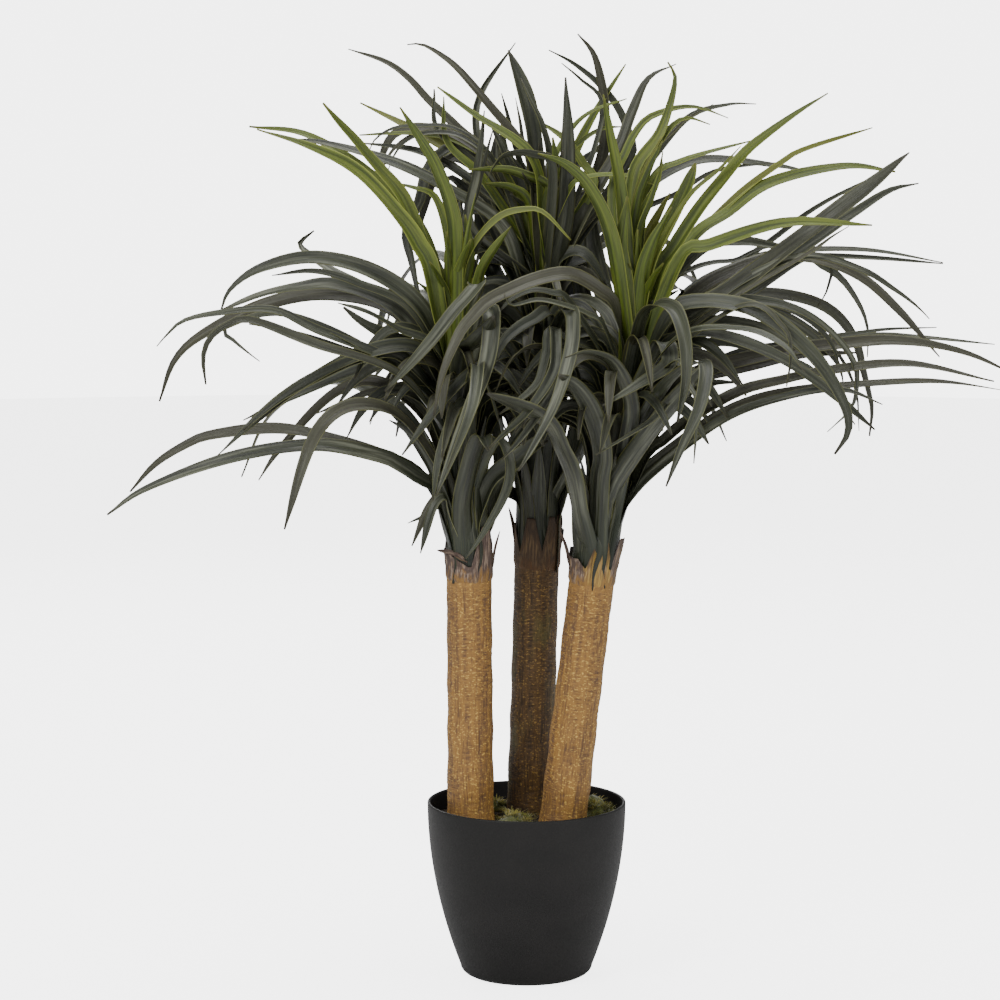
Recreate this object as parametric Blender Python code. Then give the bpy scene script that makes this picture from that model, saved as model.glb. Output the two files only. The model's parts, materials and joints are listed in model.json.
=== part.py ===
"""Potted three-cane palm: pot, planting fill, moss, canes, husks, crown shoots and leaves.

Run with blender --background --python part.py, or from Blender's text editor.

The tables are in millimetres and the meshes in metres. +Z is up, the origin is the centre of
the pot's flat foot, and the front of the plant faces -Y.
"""
import math

import bmesh
import bpy
from mathutils import Matrix, Vector
from mathutils.geometry import intersect_point_line

MM = 0.001
GAP = 0.3                   # clearance that pieces which touch keep, mm

# Pot, mm
RIM_RADIUS = 95.0
POT_HEIGHT = 168.0
POT_TAPER = 35.0            # how much narrower the foot is than the rim, in radius
POT_BELLY = 1.95            # 1 is a straight cone, more is fuller
WALL = 3.0
FLOOR = 4.0
FOOT_ROUND = (13.0, 9.0)    # width and height of the rounding above the foot
POT_SIDES = 40
WALL_STEPS = 8

# Planting fill and moss, mm
FILL_TOP = 150.0
MOSS = {                    # centre x and y, half width, half depth, height
    "moss_front": (-12, -22, 20, 34, 17),
    "moss_right": (64, 4, 21, 38, 22),
    "moss_back": (-34, 44, 28, 22, 15),
}

# Canes, mm: centre of the buried end, centre of the top
CANES = {
    "left": ((-53, -20, 92), (-54.5, -20, 388)),
    "back": ((2, 35, 92), (10, 35, 392)),
    "right": ((27, -30, 92), (61, -30, 386)),
}
CANE_RADIUS = 21.5
CANE_FLARE = 2.5            # the foot of a cane is this much thicker
CANE_WAVE = 0.7             # height of its growth rings
CANE_RINGS = 13
SIDES = 20
HUSK_HEIGHT = 15.0          # the collar below the cane's top
HUSK_WALL = 1.4
BRACTS = 7

# Crown shoots, mm: top of the core that carries the leaves
SHOOT_TOPS = {"left": (-72, -20, 624), "back": (14, 33, 704), "right": (104, -28, 624)}
SHOOT_PROFILE = ((0.0, 18.5), (0.1, 20.5), (0.3, 18.0), (0.65, 11.0), (1.0, 4.0))
SHOOT_STEPS = 10

# Leaves. The front elevation is drawn as seen from EYE: a leaf's point is written as x, depth
# behind the pot's axis, z, and slides along its sight line to that depth.
EYE = Vector((-25, -3200, 858))
FRONT = Vector((0, -1, 0.2))
LEAF_STEPS = 11
LEAF_TRIM = 100              # tries for each step of a leaf, to find where it clears its shoot
LEAF_THICK = 1.7
LEAF_SEAT = 0.5             # gap between a leaf's stem end and its shoot
LEAF_FACING = 1.1           # how much a sideways leaf turns its upper face to the front
DARK = "#3a4238"
LIGHT = "#76802f"

# Width, height at which the leaf leaves its shoot, colour, then points from stem to tip
LEAVES = {
    "left": (
        (11, 425, DARK, (-87, -30, 468), (-101, -32, 478), (-118, -36, 490), (-140, -40, 500),
         (-200, -50, 510), (-280, -62, 498), (-360, -70, 469), (-398, -72, 444)),
        (9, 452, DARK, (-100, -14, 481), (-140, -6, 502), (-190, 2, 518), (-240, 8, 526),
         (-298, 12, 520), (-324, 14, 510), (-352, 16, 492), (-376, 18, 466)),
        (11, 440, DARK, (-83, -44, 479), (-90, -52, 496), (-103, -64, 516), (-122, -82, 537),
         (-145, -102, 547), (-172, -122, 545), (-194, -145, 528), (-210, -160, 496),
         (-230, -180, 430)),
        (9, 498, DARK, (-91, -16, 528), (-118, -6, 558), (-148, 4, 571), (-176, 12, 562),
         (-200, 20, 543), (-223, 28, 518), (-240, 32, 498), (-254, 36, 477)),
        (12, 560, DARK, (-100, -45, 598), (-150, -62, 597), (-210, -80, 567), (-250, -88, 538),
         (-293, -95, 500)),
        (11, 600, DARK, (-100, -32, 640), (-145, -42, 674), (-200, -50, 687), (-250, -57, 677),
         (-279, -60, 657), (-289, -61, 634)),
        (11, 588, DARK, (-120, 2, 635), (-180, 22, 653), (-240, 36, 645), (-300, 46, 618),
         (-331, 49, 592), (-347, 50, 552)),
        (8, 530, DARK, (-120, -75, 575), (-200, -115, 605), (-260, -135, 628), (-283, -141, 623),
         (-298, -145, 612), (-305, -147, 594), (-303, -147, 568)),
        (9, 536, DARK, (-52, -70, 564), (-46, -120, 585), (-52, -190, 545), (-75, -230, 488)),
        (7, 490, DARK, (-30, -70, 515), (-18, -100, 502), (-16, -115, 482), (-22, -132, 461),
         (-33, -146, 440), (-46, -157, 419), (-58, -165, 402)),
        (13, 415, DARK, (-60, -50, 455), (-50, -66, 500), (-42, -80, 518), (-36, -95, 505)),
        (12, 594, LIGHT, (-92, -36, 672), (-103, -36, 697), (-119, -36, 722), (-160, -42, 766),
         (-205, -50, 790), (-253, -55, 807)),
        (10, 616, LIGHT, (-68, -38, 700), (-72, -42, 735), (-86, -50, 774), (-102, -55, 801),
         (-119, -60, 828)),
        (12, 470, DARK, (-120, 60, 540), (-180, 130, 570), (-240, 190, 540), (-270, 215, 480)),
        (11, 520, DARK, (-85, 50, 600), (-110, 120, 655), (-130, 190, 650), (-145, 230, 590)),
    ),
    "right": (
        (7, 405, DARK, (90, -34, 440), (99, -37, 461), (124, -44, 488), (187, -56, 536),
         (250, -66, 558), (299, -72, 563), (336, -76, 549)),
        (7, 432, DARK, (94, -24, 468), (111, -20, 486), (146, -12, 514), (180, -4, 538),
         (217, 4, 554), (255, 9, 562), (289, 14, 566), (380, 24, 571), (455, 30, 562)),
        (9, 455, DARK, (112, -34, 497), (130, -38, 514), (154, -42, 534), (200, -50, 560),
         (242, -53, 571), (284, -56, 580), (360, -60, 587), (441, -64, 571)),
        (11, 520, DARK, (140, -16, 566), (230, -2, 596), (316, 10, 607), (351, 14, 608),
         (385, 18, 604), (420, 22, 595), (455, 26, 580)),
        (12, 578, DARK, (135, -60, 632), (165, -72, 645), (204, -88, 641), (230, -98, 629),
         (256, -108, 609), (281, -118, 581), (301, -126, 545), (303, -128, 522), (291, -130, 502)),
        (11, 548, DARK, (130, -50, 602), (160, -58, 615), (187, -64, 612), (217, -70, 602),
         (248, -78, 587), (275, -84, 569), (301, -90, 549), (329, -96, 525)),
        (12, 590, DARK, (150, -6, 645), (200, 8, 677), (256, 22, 688), (309, 30, 671),
         (350, 38, 637), (389, 44, 594)),
        (14, 602, DARK, (150, -38, 630), (195, -46, 657), (261, -54, 706), (297, -58, 733),
         (330, -61, 759), (358, -64, 786)),
        (9, 622, LIGHT, (124, -32, 672), (140, -38, 698), (162, -43, 732), (185, -47, 761),
         (204, -49, 784), (220, -51, 798), (251, -55, 821), (281, -58, 841)),
        (10, 614, LIGHT, (150, -16, 697), (190, -8, 730), (230, -2, 758), (298, 4, 773),
         (345, 8, 768)),
        (9, 592, LIGHT, (143, -48, 684), (173, -60, 699), (244, -76, 720), (324, -90, 718)),
        (9, 616, LIGHT, (93, -40, 690), (86, -46, 757), (78, -50, 800), (71, -54, 840)),
        (10, 610, LIGHT, (84, -54, 680), (74, -62, 722), (57, -70, 755), (36, -78, 775),
         (10, -84, 785)),
        (10, 518, DARK, (130, -90, 565), (166, -150, 588), (164, -190, 550), (145, -215, 505),
         (132, -225, 471)),
        (13, 403, DARK, (50, -60, 442), (44, -75, 478), (33, -95, 505), (16, -118, 534),
         (-38, -150, 560)),
        (12, 480, DARK, (140, 50, 550), (210, 110, 590), (270, 160, 580), (310, 190, 530)),
        (11, 540, DARK, (110, 60, 630), (140, 130, 670), (165, 190, 650), (180, 225, 590)),
    ),
    "back": (
        (11, 640, DARK, (-20, 22, 712), (-72, 10, 750), (-124, 0, 776), (-187, -8, 794),
         (-222, -12, 798)),
        (11, 660, DARK, (-22, 64, 750), (-50, 72, 788), (-90, 84, 807), (-125, 92, 802),
         (-144, 96, 760)),
        (7, 676, DARK, (-30, 48, 770), (-65, 58, 808), (-93, 64, 835), (-110, 68, 854),
         (-132, 72, 870), (-167, 76, 882)),
        (8, 660, DARK, (4, 10, 770), (-10, 10, 798), (-35, 8, 828), (-63, 2, 861), (-79, 0, 875),
         (-98, -3, 886), (-112, -4, 886)),
        (14, 704, DARK, (6, 38, 768), (4, 41, 800), (-4, 44, 840), (-18, 50, 881)),
        (12, 664, DARK, (36, 12, 728), (39, 12, 800), (36, 14, 856)),
        (9, 694, DARK, (56, 60, 745), (72, 62, 786), (73, 63, 822), (70, 64, 850), (62, 64, 878),
         (47, 66, 896)),
        (11, 666, DARK, (50, 28, 722), (84, 38, 782), (100, 43, 824), (114, 46, 854),
         (139, 48, 868)),
        (7, 666, DARK, (60, 62, 720), (109, 76, 770), (150, 84, 817), (188, 88, 830),
         (214, 92, 831)),
        (9, 648, DARK, (60, 84, 705), (105, 104, 748), (160, 118, 778), (230, 130, 774),
         (268, 134, 767)),
        (11, 545, DARK, (-8, -12, 590), (-40, -52, 586), (-75, -78, 556), (-118, -92, 501)),
        (12, 520, DARK, (20, 110, 600), (32, 190, 620), (40, 240, 580), (44, 262, 530)),
        (11, 580, DARK, (-50, 110, 660), (-90, 180, 690), (-120, 230, 660), (-135, 255, 610)),
        (11, 620, DARK, (60, 110, 690), (110, 170, 710), (150, 210, 680), (170, 232, 630)),
    ),
}


def linear(hex_colour):
    """Turn an sRGB hex colour into Blender's linear RGBA."""
    channels = [int(hex_colour[i:i + 2], 16) / 255 for i in (1, 3, 5)]
    curve = [c / 12.92 if c <= 0.04045 else ((c + 0.055) / 1.055) ** 2.4 for c in channels]
    return (*curve, 1.0)


def material(name, colour, roughness):
    """Make a Principled material for one piece."""
    made = bpy.data.materials.new(name)
    made.use_nodes = True
    shader = made.node_tree.nodes["Principled BSDF"]
    shader.inputs["Base Color"].default_value = linear(colour)
    shader.inputs["Roughness"].default_value = roughness
    return made


def add_piece(name, bm, colour, roughness, place=Matrix()):
    """Turn a bmesh into a named object, placed by a matrix and parented to the plant."""
    bmesh.ops.recalc_face_normals(bm, faces=bm.faces)
    mesh = bpy.data.meshes.new(name)
    bm.to_mesh(mesh)
    bm.free()
    mesh.shade_smooth()
    mesh.set_sharp_from_angle(angle=math.radians(40))
    mesh.materials.append(material(name, colour, roughness))
    piece = bpy.data.objects.new(name, mesh)
    bpy.context.scene.collection.objects.link(piece)
    piece.parent = bpy.data.objects["plant"]
    piece.matrix_local = place
    return piece


def add_cutter(name, bm):
    """Add a guide body that cuts others and isn't part of the plant."""
    cutter = add_piece(name, bm, "#ff0000", 0.5)
    cutter.hide_render = True
    cutter.display_type = "WIRE"
    return cutter


def cut(piece, cutter):
    """Take a cutter out of a piece."""
    hole = piece.modifiers.new("sockets", "BOOLEAN")
    hole.operation = "DIFFERENCE"
    hole.solver = "EXACT"
    hole.object = cutter


def turned(profile, sides):
    """Spin a profile of radius and height, which starts and ends on the axis, into a solid."""
    bm = bmesh.new()
    verts = [bm.verts.new((radius * MM, 0, z * MM)) for radius, z in profile]
    edges = [bm.edges.new(pair) for pair in zip(verts, verts[1:])]
    bmesh.ops.spin(bm, geom=verts + edges, axis=(0, 0, 1), angle=math.tau, steps=sides, use_merge=True)
    bmesh.ops.remove_doubles(bm, verts=bm.verts, dist=GAP * MM / 10)
    return bm


def loft(rings, bm=None):
    """Close a body over a row of rings, each with the same number of points in mm."""
    bm = bm or bmesh.new()
    loops = [[bm.verts.new(Vector(point) * MM) for point in ring] for ring in rings]
    bm.faces.new(reversed(loops[0]))
    bm.faces.new(loops[-1])
    for low, high in zip(loops, loops[1:]):
        for i, vert in enumerate(low):
            after = (i + 1) % len(low)
            bm.faces.new((vert, low[after], high[after], high[i]))
    return bm


def circle(centre, normal, radius, sides):
    """Give the points of a ring round a centre, square to a direction."""
    turn = Vector((0, 0, 1)).rotation_difference(Vector(normal))
    angles = [math.tau * i / sides for i in range(sides)]
    return [Vector(centre) + turn @ Vector((radius * math.cos(a), radius * math.sin(a), 0))
            for a in angles]


def smooth_path(points, steps):
    """Run a Catmull-Rom curve through the points and give it at even steps of its length."""
    knots = [2 * points[0] - points[1], *points, 2 * points[-1] - points[-2]]
    dense = []
    for p0, p1, p2, p3 in zip(knots, knots[1:], knots[2:], knots[3:]):
        for i in range(12):
            t = i / 12
            dense.append(0.5 * (2 * p1 + (p2 - p0) * t + (2 * p0 - 5 * p1 + 4 * p2 - p3) * t * t
                                + (3 * p1 - p0 - 3 * p2 + p3) * t ** 3))
    dense.append(points[-1])
    return even(dense, steps)


def even(path, steps):
    """Give steps + 1 points at equal distances along a polyline."""
    runs = [(b - a).length for a, b in zip(path, path[1:])]
    spacing = sum(runs) / steps
    result, walked, i = [path[0]], 0.0, 0
    for step in range(1, steps):
        while walked + runs[i] < step * spacing:
            walked += runs[i]
            i += 1
        result.append(path[i].lerp(path[i + 1], (step * spacing - walked) / runs[i]))
    return [*result, path[-1]]


def tangents(path):
    """Give the direction of a polyline at each of its points."""
    ends = [path[0], *path, path[-1]]
    return [(after - before).normalized() for before, after in zip(ends, ends[2:])]


def interpolate(table, x):
    """Read a piecewise linear table of (x, value)."""
    for (x0, y0), (x1, y1) in zip(table, table[1:]):
        if x <= x1:
            return y0 + (y1 - y0) * (x - x0) / (x1 - x0)
    return table[-1][1]


# ---------------------------------------------------------------------------------- the pot

def pot_radius(z):
    """Outer radius of the pot's wall at a height."""
    return RIM_RADIUS - POT_TAPER * (1 - z / POT_HEIGHT) ** POT_BELLY


def wall_profile(inset, bottom):
    """Profile of the pot's wall, moved in by an inset, from a flat bottom up to the rim."""
    width, height = FOOT_ROUND
    corner = pot_radius(height) - width
    arc = [math.radians(a) for a in (0, 30, 60)]
    foot = [(corner + (width - inset) * math.sin(a), bottom + (height - bottom) * (1 - math.cos(a)))
            for a in arc]
    heights = [height + (POT_HEIGHT - height) * i / WALL_STEPS for i in range(WALL_STEPS + 1)]
    return foot + [(pot_radius(z) - inset, z) for z in heights]


def build_pot():
    """A thin-walled turned pot, open at the top."""
    outside = wall_profile(0.0, 0.0)
    inside = wall_profile(WALL, FLOOR)
    profile = [(0, 0), *outside, *reversed(inside), (0, FLOOR)]
    add_piece("pot", turned(profile, POT_SIDES), "#2b2a29", 0.6)


def build_fill(sockets):
    """The plug that holds the canes, up to just under the rim."""
    wall = [(radius, z) for radius, z in wall_profile(WALL + GAP, FLOOR + GAP) if z < FILL_TOP]
    top_radius = pot_radius(FILL_TOP) - WALL - GAP
    profile = [(0, FLOOR + GAP), *wall, (top_radius, FILL_TOP), (0, FILL_TOP)]
    cut(add_piece("planting_fill", turned(profile, POT_SIDES), "#2a211a", 0.95), sockets)


def build_moss(name, sockets):
    """A low cushion of moss on the fill, cut back where a cane stands."""
    x, y, half_width, half_depth, height = MOSS[name]
    rings = []
    for level in (0, 18, 38, 58, 76):
        ring = []
        for i in range(SIDES):
            angle = math.tau * i / SIDES
            spread = math.cos(math.radians(level)) * (1 + 0.07 * math.sin(5 * angle + x))
            lift = height * math.sin(math.radians(level)) * (1 + 0.12 * math.cos(3 * angle + y))
            ring.append((x + half_width * spread * math.cos(angle),
                         y + half_depth * spread * math.sin(angle), FILL_TOP + GAP + lift))
        rings.append(ring)
    cut(add_piece(name, loft(rings), "#6d6b2a", 0.95), sockets)


# --------------------------------------------------------------------------- canes and husks

def cane_axis(side):
    """Foot, top and direction of a cane."""
    foot, top = (Vector(point) for point in CANES[side])
    return foot, top, (top - foot).normalized()


def cane_radius(share):
    """Radius of a cane at a share of its height: flared foot, growth rings, plain top."""
    flare = CANE_FLARE * (1 - share) ** 3
    rings = CANE_WAVE * math.sin(math.pi * CANE_RINGS * share) * (1 - share ** 6)
    return CANE_RADIUS + flare + rings


def cane_body(side, spare=0.0, bm=None):
    """A cane's solid, or with some spare size the room it takes in its neighbours."""
    foot, top, along = cane_axis(side)
    foot = foot - along * spare
    rings = []
    for i in range(CANE_RINGS + 1):
        share = i / CANE_RINGS
        radius = max(cane_radius(share), cane_radius(1) if spare else 0) + spare
        rings.append(circle(foot.lerp(top, share), along, radius, SIDES))
    return loft(rings, bm)


def build_husk(side):
    """A collar round the cane's top that opens into torn, pointed bracts."""
    _, top, along = cane_axis(side)
    columns = BRACTS * 4
    bm = bmesh.new()
    walls = []
    for i in range(columns):
        angle = math.tau * i / columns
        step = i % 4
        reach = (6.0, 17.0, 30.0 + 9 * math.sin(2.3 * i), 15.0)[step]
        outward = Vector((math.cos(angle), math.sin(angle), 0))
        low = CANE_RADIUS + GAP + 0.5
        high = low + 1.5 + 0.22 * reach
        section = [(low, -HUSK_HEIGHT), (low + HUSK_WALL, -HUSK_HEIGHT), (high + HUSK_WALL, reach),
                   (high, reach)]
        walls.append([bm.verts.new((outward * radius + Vector((0, 0, z))) * MM) for radius, z in section])
    for low, high in zip(walls, walls[1:] + walls[:1]):
        for i in range(4):
            after = (i + 1) % 4
            bm.faces.new((low[i], high[i], high[after], low[after]))
    turn = Vector((0, 0, 1)).rotation_difference(along).to_matrix().to_4x4()
    add_piece(f"husk_{side}", bm, "#4b3a31", 0.85, Matrix.Translation(top * MM) @ turn)


# ------------------------------------------------------------------------- shoots and leaves

def shoot_path(side):
    """Centre line of a crown shoot, which starts square on its cane's top."""
    _, top, along = cane_axis(side)
    start = top + along * GAP
    return smooth_path([start, start + along * 25, Vector(SHOOT_TOPS[side])], SHOOT_STEPS)


def build_shoot(side):
    """The tapering core of wrapped leaf bases that carries a crown's leaves."""
    path = shoot_path(side)
    directions = [cane_axis(side)[2], *tangents(path)[1:]]
    rings = [circle(centre, along, interpolate(SHOOT_PROFILE, i / SHOOT_STEPS), SIDES)
             for i, (centre, along) in enumerate(zip(path, directions))]
    add_piece(f"shoot_{side}", loft(rings), "#39453a", 0.55)


def clearance(point, path):
    """How far a point is outside a shoot's surface, round its side or above its flat top."""
    top, direction = path[-1], (path[-1] - path[-2]).normalized()
    above = (point - top).dot(direction)
    if above > 0:
        aside = (point - top - direction * above).length - SHOOT_PROFILE[-1][1]
        return math.hypot(above, max(aside, 0.0))
    best = math.inf
    for i, (low, high) in enumerate(zip(path, path[1:])):
        _, share = intersect_point_line(point, low, high)
        share = min(max(share, 0.0), 1.0)
        radius = interpolate(SHOOT_PROFILE, (i + share) / SHOOT_STEPS)
        best = min(best, (point - low.lerp(high, share)).length - radius)
    return best


def from_elevation(x, depth, z):
    """Slide a point of the front elevation along its sight line to a depth."""
    return EYE + (Vector((x, 0, z)) - EYE) * (1 - depth / EYE.y)


def on_shoot(path, height):
    """Point of a shoot's centre line at a height."""
    for low, high in zip(path, path[1:]):
        if low.z <= height <= high.z:
            return low.lerp(high, (height - low.z) / (high.z - low.z))
    return path[-1]


def leaf_width(share):
    """Width of a blade, as a share of its widest, from stem to tip."""
    return (0.8 + 0.2 * math.sin(math.pi * share)) * (1 - share ** 3) ** 0.8 + 0.06


def blade_ring(centre, along, share, width, sideways):
    """Four corners of a blade's diamond section, its upper face opened towards the front."""
    level = (sideways - along * sideways.dot(along)).normalized()
    front = FRONT - along * FRONT.dot(along)
    normal = (along.cross(level) + front * LEAF_FACING * abs(sideways.y)).normalized()
    half = normal.cross(along) * width * leaf_width(share) / 2
    thick = normal * LEAF_THICK * (1 - 0.6 * share) / 2
    return [centre - half, centre - thick, centre + half, centre + thick]


def build_leaf(name, side, width, height, colour, points):
    """One strap leaf: out of the shoot, over its crest and down to a fine tip."""
    shoot = shoot_path(side)
    root = on_shoot(shoot, height)
    path = smooth_path([root, *(from_elevation(*point) for point in points)], LEAF_STEPS * LEAF_TRIM)
    outward = path[-1] - path[0]
    sideways = Vector((-outward.y, outward.x, 0)).normalized()
    clear = width / 2 * leaf_width(0) + LEAF_SEAT
    start = next(i for i, point in enumerate(path) if clearance(point, shoot) > clear)
    while start and blade_clear(path[start - 1:], width, sideways, shoot):
        start -= 1
    seat = (path[start + 1] - path[start]).normalized()
    path = even(path[start:], LEAF_STEPS)
    rings = [blade_ring(centre, along, i / LEAF_STEPS, width, sideways)
             for i, (centre, along) in enumerate(zip(path, [seat, *tangents(path)[1:]]))]
    add_piece(name, loft(rings), colour, 0.5)


def blade_clear(path, width, sideways, shoot):
    """Whether the first stretch of a blade that starts here keeps its gap to the shoot."""
    for i in range(0, 2 * LEAF_TRIM, LEAF_TRIM // 4):
        along = (path[i + 1] - path[i]).normalized()
        ring = blade_ring(path[i], along, 0, width, sideways)
        if min(clearance(corner, shoot) for corner in ring) < LEAF_SEAT:
            return False
    return True


# ------------------------------------------------------------------------------------- build

def clear_scene():
    """Remove whatever the scene holds."""
    for old in list(bpy.data.objects):
        bpy.data.objects.remove(old)


def build():
    """Build the whole plant."""
    clear_scene()
    plant = bpy.data.objects.new("plant", None)
    bpy.context.scene.collection.objects.link(plant)

    room = bmesh.new()
    for side in CANES:
        cane_body(side, GAP, room)
    sockets = add_cutter("cane_sockets", room)

    build_pot()
    build_fill(sockets)
    for name in MOSS:
        build_moss(name, sockets)
    for side in CANES:
        add_piece(f"cane_{side}", cane_body(side), "#8e6a33", 0.7)
        build_husk(side)
        build_shoot(side)
        for number, (width, height, colour, *points) in enumerate(LEAVES[side], 1):
            build_leaf(f"leaf_{side}_{number:02d}", side, width, height, colour, points)


build()
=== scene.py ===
"""Looks of a potted three-cane palm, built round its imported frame.

The frame is the CAD model. Every piece here stands for one of its nodes, or fills out a crown
between them. Tables are in millimetres and meshes in metres; +Z is up, and the front of the
plant faces -Y.
"""

from __future__ import annotations

import json
import logging
import math
import random
from collections.abc import Callable, Iterable, Mapping, Sequence
from dataclasses import dataclass, replace
from enum import Enum
from typing import Any

import bmesh
import bpy
from mathutils import Matrix, Vector, noise

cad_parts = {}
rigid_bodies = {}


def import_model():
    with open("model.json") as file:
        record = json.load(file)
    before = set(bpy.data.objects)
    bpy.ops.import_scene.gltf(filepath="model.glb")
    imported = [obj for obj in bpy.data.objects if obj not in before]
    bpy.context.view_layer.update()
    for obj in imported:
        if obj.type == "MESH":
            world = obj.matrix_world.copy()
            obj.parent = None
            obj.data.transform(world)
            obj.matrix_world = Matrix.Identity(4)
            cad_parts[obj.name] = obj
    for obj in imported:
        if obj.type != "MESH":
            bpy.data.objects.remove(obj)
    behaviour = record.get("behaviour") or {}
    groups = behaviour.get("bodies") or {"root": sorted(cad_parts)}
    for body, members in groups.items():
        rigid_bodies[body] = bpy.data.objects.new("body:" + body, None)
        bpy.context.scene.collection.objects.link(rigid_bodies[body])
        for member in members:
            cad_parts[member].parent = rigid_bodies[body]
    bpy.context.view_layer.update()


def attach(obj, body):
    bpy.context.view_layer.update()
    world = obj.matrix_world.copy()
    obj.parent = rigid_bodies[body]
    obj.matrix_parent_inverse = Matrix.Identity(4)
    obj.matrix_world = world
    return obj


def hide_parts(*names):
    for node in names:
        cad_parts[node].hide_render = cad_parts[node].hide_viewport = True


LOG = logging.getLogger("palm")
MM = 0.001
WELD = 0.01 * MM            # vertices closer than this are one
UV_MM = 100.0               # one unit of a UV map is this many millimetres
GOLDEN_ANGLE = 137.5        # degrees from one leaf to the next round a shoot
SWING = 2.4                 # the same in radians, for leaves that swing within a fan
CURVE_STEPS = 12            # points on a curve between two knots, before it is divided evenly
UP = Vector((0, 0, 1))

Point = tuple[float, float, float]
Colour = tuple[float, float, float, float]


class Side(Enum):
    """The three plants in the pot."""

    LEFT = "left"
    BACK = "back"
    RIGHT = "right"


class Kind(Enum):
    """The two kinds of leaf: old and arching, or young and upright."""

    DARK = "leaf_dark"
    LIGHT = "leaf_light"


D = Kind.DARK
L = Kind.LIGHT
Row = tuple[Any, ...]       # width, height on the shoot, kind, then points from stem to tip

# The front elevation is drawn as seen from EYE: a point is x, depth behind the pot's axis, z,
# and slides along its sight line to that depth.
EYE = Vector((-25, -3200, 858))
FRONT = Vector((0, -1, 0.2))
LEAF_FACING = 1.5           # how much a sideways leaf turns its upper face to the front

# Each cane's middle at its foot and at its top, and the top of the shoot that it carries
CANES = {
    Side.LEFT: ((-53, -20, 92), (-54.5, -20, 388)),
    Side.BACK: ((2, 35, 92), (10, 35, 392)),
    Side.RIGHT: ((27, -30, 92), (61, -30, 386)),
}
SHOOT_TOPS = {Side.LEFT: (-72, -20, 624), Side.BACK: (14, 33, 704), Side.RIGHT: (104, -28, 624)}

# Each husk's bracts, how far up its tears start, and its loose slivers, as Husk takes them
BRACTS = {
    Side.LEFT: (
        ((-70, 68, 23, 1.5, 0.0), (46, 40, 50, 0.5, 0.1), (92, 22, 24, 2, 0.0),
         (132, 30, 34, 3, 0.3), (-165, 36, 28, 3, 0.2), (-118, 24, 26, 3, 0.1)), 12,
        ((6, (-2, -22, 16), (-14, -21, 24), (-30, -15, 27)),
         (3, (22, -6, 6), (24, -5, 24), (29, -5, 44)),
         (2, (-22, -4, 8), (-22.5, -4, 22), (-21.5, -4, 38)))),
    Side.BACK: (
        ((-18, 30, 47, 0.5, 0.2), (36, 26, 48, 0.5, 0.3), (62, 28, 50, 0.5, 0.3),
         (-80, 32, 40, 1, 0.2), (104, 26, 34, 3, 0.3), (150, 30, 38, 3, 0.3),
         (-154, 34, 32, 3, 0.1), (-116, 22, 36, 3, 0.1)), 12,
        ((4, (-21, -3, 20), (-23, -3, 38), (-27, -3, 55)),
         (2, (22, -3, 30), (24, -3, 40), (23, -3, 52)))),
    Side.RIGHT: (
        ((-58, 52, 21, 2, 0.1), (14, 40, 40, 0.5, 0.9), (66, 34, 44, 4, 0.3),
         (118, 30, 26, 3, 0.3), (168, 34, 34, 3, 0.3), (-122, 34, 28, 3, 0.2)), 6,
        ((4, (-21, -5, 12), (-24, -6, 30), (-30, -6, 47)),)),
}

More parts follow.
